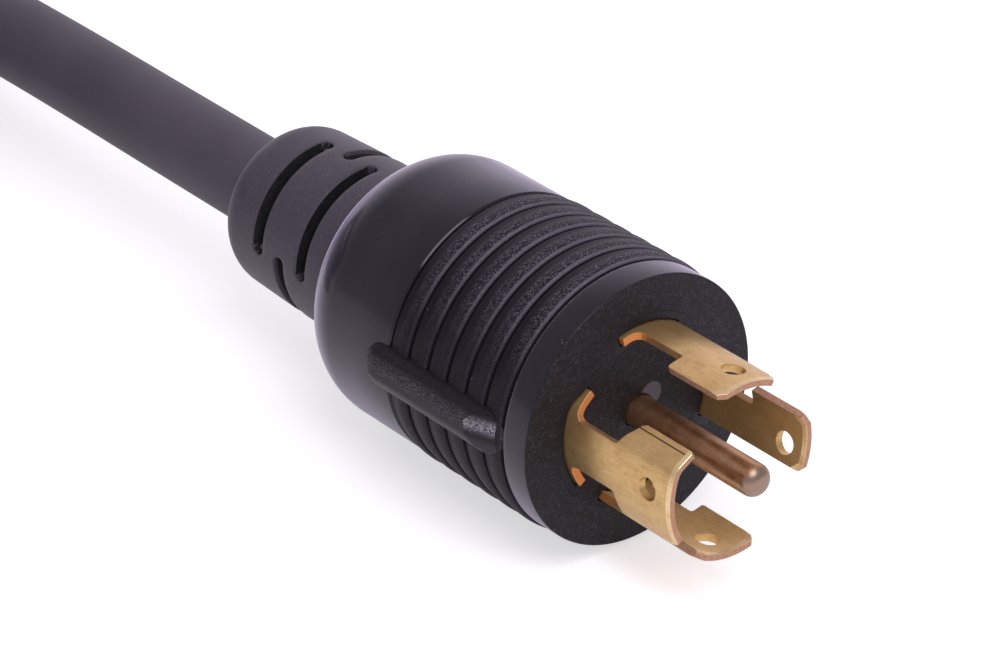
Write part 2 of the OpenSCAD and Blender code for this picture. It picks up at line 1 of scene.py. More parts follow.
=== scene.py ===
"""Shore power cord: a moulded locking plug, a hanked five-core cable and its locking connector."""

import math

import bmesh
import bpy
from bpy.props import BoolProperty, FloatProperty, IntProperty, PointerProperty
from mathutils import Matrix, Vector


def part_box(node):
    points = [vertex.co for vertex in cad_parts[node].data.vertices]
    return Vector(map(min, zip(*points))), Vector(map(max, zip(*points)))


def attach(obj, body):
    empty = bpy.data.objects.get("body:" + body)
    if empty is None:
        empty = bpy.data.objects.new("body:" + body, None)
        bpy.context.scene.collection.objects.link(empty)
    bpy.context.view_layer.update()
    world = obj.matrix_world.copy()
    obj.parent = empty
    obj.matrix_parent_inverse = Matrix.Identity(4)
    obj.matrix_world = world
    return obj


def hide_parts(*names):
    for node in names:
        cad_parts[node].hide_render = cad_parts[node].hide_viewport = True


bl_info = {
    "name": "Shore Power Cord",
    "version": (1, 0, 0),
    "blender": (4, 5, 0),
    "location": "View3D > Sidebar > Shore Cord",
    "description": "Builds a moulded locking plug, its hanked cable and the matching connector",
    "category": "Add Mesh",
}

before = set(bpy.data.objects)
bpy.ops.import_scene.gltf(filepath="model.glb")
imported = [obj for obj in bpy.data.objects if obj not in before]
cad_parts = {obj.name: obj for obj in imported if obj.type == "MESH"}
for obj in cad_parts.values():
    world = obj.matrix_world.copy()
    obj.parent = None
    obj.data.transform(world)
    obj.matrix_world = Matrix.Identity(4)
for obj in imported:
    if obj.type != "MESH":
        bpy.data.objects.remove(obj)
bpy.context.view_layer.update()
BODY = "root"
MM = 0.001

# ---------------------------------------------------------------- sizes, in millimetres
# The plug along X, backwards from its face at 0
FACE_R = 27.0
BAND_LEN = 6.4
RIB_COUNT = 6
RIB_PITCH = 5.45
RIB_RISE = 0.55
# a rib's height, as shares of its pitch and rise
RIB_FORM = (
    (0.075, 0.25), (0.10, 0.5), (0.14, 0.72), (0.2, 0.88), (0.28, 0.97), (0.36, 1.0),
    (0.46, 0.97), (0.56, 0.84), (0.68, 0.58), (0.8, 0.36), (0.9, 0.24), (0.935, 0.14),
)
SHOULDER_R = 27.2
SHOULDER_LEN = 17.9
DOME_R = 13.0
NECK_R = 18.3
NECK_LEN = 2.2
STEM_R = 14.4
PIN_HOLE_R = 3.475
SKIN_T = 1.5
CHAMBER_R = 21.0

# The aligning ridge
RIDGE_LEN = 39.2
RIDGE_SLANT = 8.4
RIDGE_ANGLE = 177.4
RIDGE_CENTRE_Z = 1.3

# The strain relief
RELIEF_R = 17.6
RELIEF_END_R = 17.0
RELIEF_LEN = 35.8
RELIEF_ROUND = 7.2
SLOT_W = 2.9
SLOT_DEPTH = 5.0
SLOT_SPAN = 97.0
SLOT_PITCH = 6.9
SLOT_FIRST = 7.1
SLOT_ANGLE = 134.0

# Blades: start, end, notch start, notch end and hole, in degrees from +Y towards +Z
BLADE_R = 17.0
BLADE_T = 1.6
BLADE_LEN = 27.0
NEUTRAL_LEN = 28.2
NOTCH_START = 1.0
NOTCH_END = 12.8
HOLE_X = 21.7
HOLE_R = 2.25
BLADE_TOP = (60.0, 106.5, 94.1, 81.2)
BLADE_RIGHT = (-23.4, 15.5, 3.2, -10.0)
BLADE_BOTTOM = (-121.5, -74.0, -83.7, -98.6)
BLADE_LEFT = (161.4, 213.5, 193.5, 176.7)
BLADES = {"x": BLADE_TOP, "y": BLADE_RIGHT, "z": BLADE_BOTTOM, "neutral": BLADE_LEFT}
PAD_MARGIN = 1.8
BLADE_GAP = 0.32
CUT_CORNER = 1.3
TIP_DEPTH = 0.22
LEG_BEND_R = 3.0
LEG_LEN = 3.2
LEG_TURN = 41.4
PIN_R = 3.175
PIN_LEN = 33.0
PIN_ROUND = 2.4

# The cable and its hank
CORD_R = 9.15
FLOOR_Z = -27.55
RUN_HALF = 90.0
HANK_HALF_W = 90.0
HANK_X = -410.0
HANK_Y = -84.0
WAIST = 18.0
WAIST_LIFT = 1.8
LOOP_STEP = 19.8
LAYER_STEP = 18.9
HANK_START = -0.125
HANK_STOP = 8.5 + 2 / 24
HANK_RINGS = 24

# The connector, its face turned back along the hank
CONN_FACE_R = 29.0
CONN_SHOULDER_R = 29.2
CONN_BAND_LEN = 10.0
CONN_SHOULDER_LEN = 22.0
CONN_REAR = Vector((-334.0, -20.0, 80.5))
INSERT_R = 22.9
EARTH_HOLE_R = 3.4
SLOT_PLAY = 0.5

# ---------------------------------------------------------------- settings


class CordBodySettings(bpy.types.PropertyGroup):
    """Settings of the moulded bodies"""

    segments: IntProperty(
        name="Segments", description="Steps round a turned body", default=256, min=32, max=512)
    ridge_width: FloatProperty(
        name="Ridge width", description="Width of the aligning ridge",
        default=0.009, unit="LENGTH", subtype="DISTANCE")
    ridge_height: FloatProperty(
        name="Ridge height", description="Height of the ridge above the shoulder",
        default=0.0024, unit="LENGTH", subtype="DISTANCE")


class CordBladeSettings(bpy.types.PropertyGroup):
    """Settings of the blades and the pin"""

    edge_round: FloatProperty(
        name="Edge rounding", description="Rounding of a blade's edges",
        default=0.00016, unit="LENGTH", subtype="DISTANCE")
    tip_bevel: FloatProperty(
        name="Tip bevel", description="Length of the bevel at a blade's tip",
        default=0.001, unit="LENGTH", subtype="DISTANCE")


class CordStageSettings(bpy.types.PropertyGroup):
    """Settings of the floor, the lamps and the camera"""

    show_floor: BoolProperty(
        name="Floor", description="Puts a pale floor under the cord", default=True)
    lens: FloatProperty(
        name="Lens", description="Focal length of the camera in millimetres",
        default=150.3, min=20, max=300)


# ---------------------------------------------------------------- small helpers


def linear(code):
    """An sRGB hex colour as linear red, green, blue and alpha"""
    parts = [int(code[i:i + 2], 16) / 255 for i in (0, 2, 4)]
    return tuple(c / 12.92 if c <= 0.04045 else ((c + 0.055) / 1.055) ** 2.4 for c in parts) + (1.0,)


def ease(u, a, b):
    """A smooth step from 0 at a to 1 at b"""
    t = min(1.0, max(0.0, (u - a) / (b - a)))
    return (1 - math.cos(math.pi * t)) / 2


def arc(cx, cr, radius, start, end, steps):
    """Points of a profile's arc; degrees, 0 towards +X and 90 outwards"""
    turns = [math.radians(start + (end - start) * i / steps) for i in range(steps + 1)]
    return [(cx + radius * math.cos(t), cr + radius * math.sin(t)) for t in turns]


def lathe(profile, steps):
    """A bmesh turned round X from points of x and radius, in millimetres"""
    bm = bmesh.new()
    verts = [bm.verts.new((x * MM, r * MM, 0)) for x, r in profile]
    edges = [bm.edges.new(pair) for pair in zip(verts, verts[1:])]
    bmesh.ops.spin(
        bm, geom=verts + edges, cent=(0, 0, 0), axis=(1, 0, 0), dvec=(0, 0, 0),
        angle=2 * math.pi, steps=steps, use_merge=True, use_duplicate=False)
    bmesh.ops.remove_doubles(bm, verts=bm.verts[:], dist=1e-7)
    bmesh.ops.recalc_face_normals(bm, faces=bm.faces[:])
    return bm


def to_object(bm, name, materials, sharp=35.0):
    """Turns a bmesh into a smooth-shaded object with its materials"""
    mesh = bpy.data.meshes.new(name)
    bm.to_mesh(mesh)
    bm.free()
    mesh.shade_smooth()
    mesh.set_sharp_from_angle(angle=math.radians(sharp))
    for material in materials:
        mesh.materials.append(material)
    obj = bpy.data.objects.new(name, mesh)
    bpy.context.scene.collection.objects.link(obj)
    return obj


def dress(obj, slot, *nodes):
    """Puts a piece on the body and hides the nodes that it stands for; its slot is not used"""
    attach(obj, BODY)
    if nodes:
        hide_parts(*nodes)
    return obj


def cut(obj, cutter, sharp=30.0):
    """Cuts one closed object out of another, marks its sharp edges anew and removes the cutter"""
    bpy.context.view_layer.update()
    modifier = obj.modifiers.new("cut", "BOOLEAN")
    modifier.object = cutter
    modifier.operation = "DIFFERENCE"
    modifier.solver = "MANIFOLD"
    with bpy.context.temp_override(object=obj, active_object=obj, selected_objects=[obj]):
        bpy.ops.object.modifier_apply(modifier=modifier.name)
    obj.data.set_sharp_from_angle(angle=math.radians(sharp))
    bpy.data.objects.remove(cutter, do_unlink=True)


def outward(bm):
    """Turns the faces of a closed bmesh outwards"""
    bmesh.ops.recalc_face_normals(bm, faces=bm.faces[:])
    if bm.calc_volume(signed=True) < 0:
        bmesh.ops.reverse_faces(bm, faces=bm.faces[:])


def merged(parts):
    """One bmesh that holds all the given ones"""
    whole = bmesh.new()
    for bm in parts:
        mesh = bpy.data.meshes.new("part")
        bm.to_mesh(mesh)
        bm.free()
        whole.from_mesh(mesh)
        bpy.data.meshes.remove(mesh)
    return whole


def lay_connector(bm):
    """Moves a shape from the connector's own frame to where the connector lies"""
    place = Matrix.Translation((CONN_REAR + Vector((conn_end(), 0, 0))) * MM)
    bmesh.ops.transform(bm, matrix=place @ Matrix.Rotation(math.pi, 4, "Z"), verts=bm.verts[:])
    return bm


def dome_len(r_shoulder):
    """Length of the dome between the shoulder and the neck"""
    return math.sqrt(DOME_R ** 2 - (DOME_R - (r_shoulder - NECK_R)) ** 2)


def shoulder_end(band, shoulder):
    return -band - RIB_COUNT * RIB_PITCH - shoulder


def neck_end(band, shoulder, r_shoulder):
    return shoulder_end(band, shoulder) - dome_len(r_shoulder) - NECK_LEN


def plug_neck():
    return neck_end(BAND_LEN, SHOULDER_LEN, SHOULDER_R)


def conn_neck():
    return neck_end(CONN_BAND_LEN, CONN_SHOULDER_LEN, CONN_SHOULDER_R)


def conn_end():
    return conn_neck() - RELIEF_LEN


# ---------------------------------------------------------------- materials


def add_node(tree, kind, inputs=None, **settings):
    """Adds a shader node, sets its properties and fills its inputs with values or sockets"""
    new = tree.nodes.new(kind)
    for key, value in settings.items():
        setattr(new, key, value)
    for key, value in (inputs or {}).items():
        if isinstance(value, bpy.types.NodeSocket):
            tree.links.new(value, new.inputs[key])
        else:
            new.inputs[key].default_value = value
    return new


def new_material(name, **sockets):
    """A material with its shader, its tree and its object coordinates"""
    material = bpy.data.materials.new(name)
    material.use_nodes = True
    tree = material.node_tree
    shader = tree.nodes["Principled BSDF"]
    for key, value in sockets.items():
        shader.inputs[key.replace("_", " ")].default_value = value
    coords = add_node(tree, "ShaderNodeTexCoord").outputs["Object"]
    return material, tree, shader, coords


def noise(tree, coords, size, detail=2.0, rough=0.5):
    """Noise whose blobs are about size metres wide"""
    return add_node(
        tree, "ShaderNodeTexNoise",
        {"Vector": coords, "Scale": 1 / size, "Detail": detail, "Roughness": rough}).outputs["Fac"]


def remap(tree, value, from_min, from_max, to_min=0.0, to_max=1.0):
    """A value mapped from one range to another, held inside it"""
    return add_node(
        tree, "ShaderNodeMapRange",
        {"Value": value, "From Min": from_min, "From Max": from_max, "To Min": to_min, "To Max": to_max},
    ).outputs["Result"]


def between(tree, value, a, b, c, d):
    """1 from b to c, falling to 0 at a and at d"""
    return math_node(tree, "MULTIPLY", remap(tree, value, a, b), remap(tree, value, c, d, 1.0, 0.0))


def math_node(tree, operation, first, second=0.0):
    return add_node(tree, "ShaderNodeMath", {0: first, 1: second}, operation=operation).outputs[0]


def blend_colour(tree, factor, first, second):
    """Mixes two colours by a factor"""
    mix = add_node(tree, "ShaderNodeMix", data_type="RGBA")
    for socket, value in ((mix.inputs[0], factor), (mix.inputs[6], first), (mix.inputs[7], second)):
        if isinstance(value, bpy.types.NodeSocket):
            tree.links.new(value, socket)
        else:
            socket.default_value = value
    return mix.outputs[2]


def bump(tree, shader, height, depth, strength=1.0):
    """Bump of a real depth in metres"""
    normal = add_node(tree, "ShaderNodeBump", {"Height": height, "Distance": depth, "Strength": strength})
    tree.links.new(normal.outputs["Normal"], shader.inputs["Normal"])


def sparkle(tree, coords, size, share):
    """The lit peaks of a spark-eroded grain: cells of a size, of which a share is bright"""
    cells = add_node(tree, "ShaderNodeTexVoronoi", {"Vector": coords, "Scale": 1 / size}).outputs["Color"]
    chance = add_node(tree, "ShaderNodeSeparateColor", {"Color": cells}).outputs["Red"]
    return remap(tree, chance, 1 - share, 1.0)


def grained_rubber(
        name, colour, speck, size=0.00035, share=0.4, depth=0.00015, roughness=0.5, mark=None, sheen=0.0):
    """Black PVC with a spark-eroded grain, whose peaks catch the light"""
    material, tree, shader, coords = new_material(
        name, Roughness=roughness, Specular_IOR_Level=0.35, Sheen_Weight=sheen, Sheen_Roughness=0.35)
    fine = noise(tree, coords, size, 3.0, 0.6)
    cloud = noise(tree, coords, 0.012, 2.0)
    patchy = remap(tree, cloud, 0.3, 0.7, 0.5, 1.0)
    peaks = math_node(tree, "MULTIPLY", sparkle(tree, coords, size, share), patchy)
    tone = blend_colour(tree, peaks, linear(colour), linear(speck))
    if mark:
        # the pale round mark of an ejector pin and a small dark dimple
        yz = add_node(tree, "ShaderNodeSeparateXYZ", {"Vector": coords}).outputs
        for y, z, radius, shade in mark:
            far = math_node(tree, "SQRT", math_node(
                tree, "ADD",
                math_node(tree, "POWER", math_node(tree, "SUBTRACT", yz["Y"], y * MM), 2.0),
                math_node(tree, "POWER", math_node(tree, "SUBTRACT", yz["Z"], z * MM), 2.0)))
            disc = remap(tree, far, radius * MM, (radius - 0.25) * MM)
            tone = blend_colour(tree, disc, tone, linear(shade))
    tree.links.new(tone, shader.inputs["Base Color"])
    bump(tree, shader, fine, depth)
    return material


def smooth_rubber(name, colour, roughness=0.2):
    """Polished black PVC with faint flow marks and fingerprints"""
    material, tree, shader, coords = new_material(name, Specular_IOR_Level=0.35)
    smear = noise(tree, coords, 0.01, 4.0, 0.6)
    rough = remap(tree, smear, 0.3, 0.7, roughness * 0.75, roughness * 1.5)
    tree.links.new(rough, shader.inputs["Roughness"])
    tone = blend_colour(tree, remap(tree, smear, 0.4, 0.7, 0.0, 0.5), linear(colour), linear("1c1b20"))
    tree.links.new(tone, shader.inputs["Base Color"])
    bump(tree, shader, noise(tree, coords, 0.004, 3.0), 0.00003, 0.5)
    return material


def body_material(name, origin_x, facing, band, axis_z):
    """The overmould: polished band, shoulder and dome, and ribs whose front halves are grained; painted highlights
    lighten the ribs' front edges and the grain's specks on the upper side
    """
    material, tree, shader, coords = new_material(
        name, Sheen_Roughness=0.34, Sheen_Tint=(1.0, 0.9, 1.12, 1.0))
    xyz = add_node(tree, "ShaderNodeSeparateXYZ", {"Vector": coords}).outputs
    x = xyz["X"]
    # painted light: the grain's lit specks and the ribs' front-edge highlight are paler on the upper side, towards
    # the key lamp
    lit_from_above = remap(tree, xyz["Z"], (axis_z + 13) * MM, (axis_z + 25) * MM, 0.12, 1.0)
    back = math_node(tree, "MULTIPLY", math_node(tree, "SUBTRACT", x, origin_x), -facing / MM)
    ribs = math_node(tree, "DIVIDE", math_node(tree, "SUBTRACT", back, band), RIB_PITCH)
    phase = math_node(tree, "FRACT", ribs)
    last = band + RIB_COUNT * RIB_PITCH
    inside = between(tree, back, band - 0.05, band + 0.05, last - 0.05, last + 0.05)
    grained = math_node(tree, "MULTIPLY", inside, between(tree, phase, 0.05, 0.08, 0.5, 0.66))
    fine = noise(tree, coords, 0.00035, 3.0, 0.6)
    smear = noise(tree, coords, 0.011, 4.0, 0.6)
    dust = remap(tree, noise(tree, coords, 0.0009, 1.0), 0.78, 0.8)
    tone = blend_colour(tree, remap(tree, smear, 0.4, 0.7), linear("121016"), linear("19171f"))
    peaks = math_node(tree, "MULTIPLY", grained, sparkle(tree, coords, 0.00017, 0.4))
    tone = blend_colour(tree, math_node(tree, "MULTIPLY", peaks, lit_from_above), tone, linear("706c74"))
    # painted highlight along the front edge of each rib, where the key lamp's light catches it
    lip_highlight = math_node(tree, "MULTIPLY", between(tree, phase, 0.05, 0.07, 0.12, 0.18), inside)
    lip_highlight = math_node(tree, "MULTIPLY", math_node(tree, "MULTIPLY", lip_highlight, lit_from_above), 0.6)
    tone = blend_colour(tree, lip_highlight, tone, linear("7c7880"))
    tone = blend_colour(tree, math_node(tree, "MULTIPLY", dust, 0.3), tone, linear("8a8890"))
    tree.links.new(tone, shader.inputs["Base Color"])
    glossy = remap(tree, smear, 0.3, 0.7, 0.12, 0.2)
    rough = add_node(tree, "ShaderNodeMix", {0: inside, 2: glossy, 3: 0.48}, data_type="FLOAT").outputs[0]
    tree.links.new(rough, shader.inputs["Roughness"])
    tree.links.new(remap(tree, inside, 0.0, 1.0, 0.4, 0.18), shader.inputs["Specular IOR Level"])
    # the polished parts keep a thin haze that shows at a low angle
    haze = math_node(tree, "MULTIPLY", math_node(tree, "SUBTRACT", 1.0, inside), 0.9)
    tree.links.new(haze, shader.inputs["Sheen Weight"])
    bump(tree, shader, math_node(tree, "MULTIPLY", fine, grained), 0.00022)
    return material


def ridge_material(name, centre_z, painted_facet_highlight):
    """The aligning ridge: grained, with painted highlight specks along its crest, dark above it, and smooth below
    with a pale painted reflection; the facet's version adds a pale painted highlight
    """
    material, tree, shader, coords = new_material(name, Roughness=0.42, Specular_IOR_Level=0.3)
    z = add_node(tree, "ShaderNodeSeparateXYZ", {"Vector": coords}).outputs["Z"]
    across = math_node(tree, "SUBTRACT", z, centre_z * MM)
    # painted highlight: the grain's specks show only along the crest, where the light catches it
    crest = between(tree, across, -0.0008, 0.0001, 0.0024, 0.0032)
    below = remap(tree, across, -0.0014, -0.0026)
    specks = sparkle(tree, coords, 0.00017, 0.4)
    tone = blend_colour(tree, math_node(tree, "MULTIPLY", specks, crest), linear("121014"), linear("5e5b62"))
    # the facet gets a pale painted highlight, brightest in its middle
    if painted_facet_highlight:
        middle = between(tree, across, -0.0004, 0.001, 0.0012, 0.003)
        pale = blend_colour(tree, middle, linear("6e6b72"), linear("e4e1e8"))
        pale = blend_colour(tree, sparkle(tree, coords, 0.00014, 0.5), linear("3a373e"), pale)
        tone = blend_colour(tree, crest, tone, pale)
    # painted reflection: the smooth lower flank is painted lighter, as it mirrors the pale floor
    tone = blend_colour(tree, math_node(tree, "MULTIPLY", below, 0.6), tone, linear("423c44"))
    tree.links.new(tone, shader.inputs["Base Color"])
    grained = math_node(tree, "SUBTRACT", 1.0, below)
    grain = math_node(tree, "MULTIPLY", noise(tree, coords, 0.0004, 3.0, 0.6), grained)
    bump(tree, shader, grain, 0.0003)
    return material


def cable_material(name):
    """Matt thermoplastic jacket, faintly drawn along its length"""
    material, tree, shader, coords = new_material(
        name, Roughness=0.55, Specular_IOR_Level=0.3, Sheen_Weight=0.05, Sheen_Roughness=0.4)
    fine = noise(tree, coords, 0.0006, 3.0, 0.6)
    cloud = noise(tree, coords, 0.03, 2.0)
    tone = blend_colour(tree, remap(tree, cloud, 0.35, 0.65), linear("514c53"), linear("5a555d"))
    tone = blend_colour(tree, remap(tree, fine, 0.6, 0.8, 0.0, 0.3), tone, linear("605c65"))
    tree.links.new(tone, shader.inputs["Base Color"])
    bump(tree, shader, fine, 0.00004)
    return material


def brass_material(name, base, tint, dark, roughness, crease=None, metallic=0.75):
    """Rolled brass strip with tarnish clouds; an optional dark line along X at a place y is painted shade of a bend
    """
    material, tree, shader, coords = new_material(name, Metallic=metallic)
    cloud = noise(tree, coords, 0.006, 4.0, 0.65)
    stain = noise(tree, coords, 0.0022, 5.0, 0.7)
    speck = noise(tree, coords, 0.00035, 2.0)
    drawn = add_node(
        tree, "ShaderNodeVectorMath", {0: coords, 1: (0.12, 1.0, 1.0)}, operation="MULTIPLY").outputs[0]
    streak = noise(tree, drawn, 0.0004, 3.0)
    tone = blend_colour(tree, remap(tree, cloud, 0.35, 0.65), linear(base), linear(tint))
    tone = blend_colour(tree, remap(tree, streak, 0.5, 0.75, 0.0, 0.3), tone, linear(dark))
    tone = blend_colour(tree, remap(tree, stain, 0.52, 0.75, 0.0, 0.4), tone, linear(dark))
    # painted shade: a dark line along X where the leg's bend would be in shade
    if crease:
        xyz = add_node(tree, "ShaderNodeSeparateXYZ", {"Vector": coords}).outputs
        off = math_node(tree, "ABSOLUTE", math_node(tree, "SUBTRACT", xyz["Y"], crease * MM))
        line = math_node(
            tree, "MULTIPLY", remap(tree, off, 0.00008, 0.00016, 1.0, 0.0), remap(tree, xyz["X"], 0.0138, 0.0148))
        line = math_node(tree, "MULTIPLY", line, remap(tree, xyz["Z"], 0.006, 0.0062))
        tone = blend_colour(tree, line, tone, linear("54401f"))
    tree.links.new(tone, shader.inputs["Base Color"])
    rough = math_node(
        tree, "ADD", remap(tree, stain, 0.3, 0.7, roughness - 0.03, roughness + 0.05),
        remap(tree, streak, 0.35, 0.65, -0.06, 0.06))
    tree.links.new(rough, shader.inputs["Roughness"])
    bump(tree, shader, speck, 0.00001)
    return material


def edge_material(name):
    """Sheared edges of the blades: pinkish, and bright copper-orange near the root"""
    material, tree, shader, coords = new_material(name, Metallic=0.75)
    x = add_node(tree, "ShaderNodeSeparateXYZ", {"Vector": coords}).outputs["X"]
    near_root = remap(tree, x, 0.0016, 0.005, 1.0, 0.0)
    streak = noise(tree, coords, 0.0008, 3.0)
    tone = blend_colour(tree, remap(tree, streak, 0.35, 0.65), linear("b98a6a"), linear("c9a184"))
    tone = blend_colour(tree, remap(tree, x, 0.0122, 0.0136, 0.7, 0.0), tone, linear("b8925a"))
    tone = blend_colour(tree, near_root, tone, linear("ee9f58"))
    tree.links.new(tone, shader.inputs["Base Color"])
    tree.links.new(remap(tree, streak, 0.3, 0.7, 0.45, 0.6), shader.inputs["Roughness"])
    return material


def pin_material(name):
    """Brown-toned brass rod with a bright turned tip"""
    material, tree, shader, coords = new_material(name, Metallic=0.9)
    xyz = add_node(tree, "ShaderNodeSeparateXYZ", {"Vector": coords}).outputs
    slant = math_node(tree, "SUBTRACT", xyz["X"], math_node(tree, "MULTIPLY", xyz["Z"], 0.35))
    tip = remap(tree, slant, 0.0302, 0.0309)
    cloud = noise(tree, coords, 0.003, 4.0, 0.65)
    speck = noise(tree, coords, 0.0003, 2.0)
    tone = blend_colour(tree, remap(tree, cloud, 0.35, 0.65), linear("b48862"), linear("c79b74"))
    patchy = remap(tree, cloud, 0.3, 0.7, 0.15, 0.45)
    worn = math_node(tree, "MULTIPLY", sparkle(tree, coords, 0.0002, 0.4), patchy)
    tone = blend_colour(tree, worn, tone, linear("e8c898"))
    tone = blend_colour(tree, tip, tone, linear("a08a76"))
    tree.links.new(tone, shader.inputs["Base Color"])
    tree.links.new(remap(tree, cloud, 0.3, 0.7, 0.3, 0.4), shader.inputs["Roughness"])
    bump(tree, shader, speck, 0.00001)
    return material


def strap_material(name):
    """Woven hook-and-loop tape"""
    material, tree, shader, coords = new_material(name, Roughness=0.85)
    weave_x = add_node(
        tree, "ShaderNodeTexWave", {"Vector": coords, "Scale": 300.0, "Distortion": 0.4},
        wave_type="BANDS", bands_direction="X").outputs["Fac"]
    weave_y = add_node(
        tree, "ShaderNodeTexWave", {"Vector": coords, "Scale": 420.0, "Distortion": 0.6},
        wave_type="BANDS", bands_direction="Y").outputs["Fac"]
    weave = math_node(tree, "MULTIPLY", weave_x, weave_y)
    fuzz = noise(tree, coords, 0.0004, 3.0)
    tone = blend_colour(tree, remap(tree, weave, 0.1, 0.8), linear("141416"), linear("2b2b2f"))
    tree.links.new(tone, shader.inputs["Base Color"])
    bump(tree, shader, math_node(tree, "ADD", weave, fuzz), 0.0002)
    return material


def plain_plastic(name, colour, roughness):
    """Moulded plastic with a faint texture"""
    material, tree, shader, coords = new_material(name, Roughness=roughness)
    fine = noise(tree, coords, 0.0008, 3.0)
    tone = blend_colour(tree, remap(tree, fine, 0.4, 0.7, 0.0, 0.15), linear(colour), linear("5a5a60"))
    tree.links.new(tone, shader.inputs["Base Color"])
    bump(tree, shader, fine, 0.00002)
    return material


MATERIALS = {}
# Inner pieces of the frame's own solids and the materials that they get
INNER = {
    "carrier": ("plug_core", "connector_core"),
    "crimp": (
        "plug_crimps", "connector_crimps", "contact_x", "contact_y", "contact_z", "contact_neutral",
        "contact_earth"),
    "cable": ("plug_jacket", "connector_jacket"),
    "black": ("plug_wire_x", "connector_wire_x"),
    "red": ("plug_wire_y", "connector_wire_y"),
    "orange": ("plug_wire_z", "connector_wire_z"),
    "white": ("plug_wire_neutral", "connector_wire_neutral"),
    "green": ("plug_wire_earth", "connector_wire_earth"),
}


def build_materials():
    """Fills the table of finished materials, and gives the inner pieces theirs"""
    MATERIALS.update(
        body=body_material("overmould", 0.0, 1, BAND_LEN, 0.0),
        connector=body_material(
            "connector_overmould", (CONN_REAR.x + conn_end()) * MM, -1, CONN_BAND_LEN, CONN_REAR.z),
        face=grained_rubber(
            "grained_face", "0a090e", "383643", 0.0004, 0.32, 0.0004, 0.5,
            [(2.8, 2.5, 2.6, "6c6870"), (-5.3, -2.65, 0.65, "0b0a0c")]),
        ridge=ridge_material("grained_ridge", RIDGE_CENTRE_Z, False),
        facet=ridge_material("facet_painted_highlight", RIDGE_CENTRE_Z, True),
        connector_ridge=ridge_material("connector_ridge", CONN_REAR.z + RIDGE_CENTRE_Z, False),
        connector_facet=ridge_material("connector_facet", CONN_REAR.z + RIDGE_CENTRE_Z, True),
        relief=grained_rubber("relief_rubber", "48444b", "56525a", 0.00035, 0.3, 0.00004, 0.5, sheen=0.2),
        # near-black material of the slots' deep faces: painted shade
        recess=plain_plastic("relief_recess", "060607", 0.7),
        pad=smooth_rubber("carrier_pads", "0d0c12", 0.5),
        cable=cable_material("cable_jacket"),
        brass=brass_material("blade_brass", "e2bf80", "d4ae70", "a47c48", 0.34),
        # brass with a painted shade line along the neutral blade's bend
        creased=brass_material("creased_brass", "e2bf80", "d4ae70", "a47c48", 0.34, -13.4),
        planed=brass_material("planed_brass", "f6dca8", "eccb92", "cfa468", 0.3),
        # a lighter, less metallic copy of the brass: painted light that brightens the bottom blade
        dulled=brass_material("dulled_brass", "f0cc8c", "e6bc78", "bc9052", 0.42, metallic=0.35),
        edge=edge_material("sheared_brass"),
        crimp=brass_material("contact_brass", "d8b47a", "c8a068", "9a764a", 0.35),
        pin=pin_material("pin_brass"),
        strap=strap_material("hook_and_loop"),
        loop=plain_plastic("strap_loop", "1a1a1c", 0.4),
        insert=plain_plastic("connector_insert", "1a1a1d", 0.45),
        carrier=plain_plastic("carrier", "1a1a1d", 0.5),
        black=plain_plastic("wire_black", "1b1b1d", 0.4),
        red=plain_plastic("wire_red", "a3231d", 0.4),
        orange=plain_plastic("wire_orange", "d06a1c", 0.4),
        white=plain_plastic("wire_white", "d9d8d4", 0.4),
        green=plain_plastic("wire_green", "1f7a3a", 0.4),
    )
    for name, nodes in INNER.items():
        for node in nodes:
            mesh = bpy.data.objects[node].data
            mesh.materials.clear()
            mesh.materials.append(MATERIALS[name])


# ---------------------------------------------------------------- cable


def spiral(v):
    """Two loops in, two out, two in and two out again, a layer each"""
    return v if v < 2 else 8 - v if v > 6 else abs(v - 4)


def loop_place(f, r):
    """Place on a loop of half width r at share f: half a run, fold, run, fold, half a run"""
    if f < 0.125:
        return -RUN_HALF * f * 8, r
    if f < 0.375:
        a = math.pi * (f - 0.125) * 4
        return -RUN_HALF - r * math.sin(a), r * math.cos(a)
    if f < 0.625:
        return RUN_HALF * (8 * f - 4), -r
    if f < 0.875:
        a = math.pi * (f - 0.625) * 4
        return RUN_HALF + r * math.sin(a), -r * math.cos(a)
    return RUN_HALF * (8 - 8 * f), r


def hank_point(u):
    """A point of the hank after u loops, in millimetres"""
    f = u - math.floor(u + 1e-9)
    x, y = loop_place(f, HANK_HALF_W - LOOP_STEP * spiral(u - 0.5))
    drawn_in = math.cos(math.pi * x / (2 * RUN_HALF)) ** 2 if abs(x) < RUN_HALF else 0.0
    climbs = sum(ease(u, start, start + 0.25) for start in (2.375, 4.375, 6.375))
    return Vector((
        HANK_X + x,
        HANK_Y + y - math.copysign(WAIST * drawn_in, y),
        FLOOR_Z + CORD_R + LAYER_STEP * climbs + WAIST_LIFT * drawn_in ** 2))


def cord_route():
    """The cable's whole route: lead, hank and tail, in millimetres"""
    steps = round((HANK_STOP - HANK_START) * HANK_RINGS)
    hank = [hank_point(HANK_START + i / HANK_RINGS) for i in range(steps + 1)]
    first_way = (hank[0] - hank[1]).normalized()
    last_way = (hank[-1] - hank[-2]).normalized()
    lead = [
        (plug_neck() - RELIEF_LEN, 0, 0), (-145, 0, 0), (-185, 0, 0), (-215, 0, -0.5),
        (-240, 4, -4.5), (-268, 13, -13), hank[0] + 20 * first_way,
    ]
    tail = [
        hank[-1] + 20 * last_way, (-298, -176, 50), (-268, -166, 53.5), (-242, -139, 57.5),
        (-231, -99, 62), (-242, -59, 68), (-270, -30, 75), (-312, -20, 80.5), CONN_REAR,
    ]
    return [Vector(p) for p in lead] + hank + [Vector(p) for p in tail]


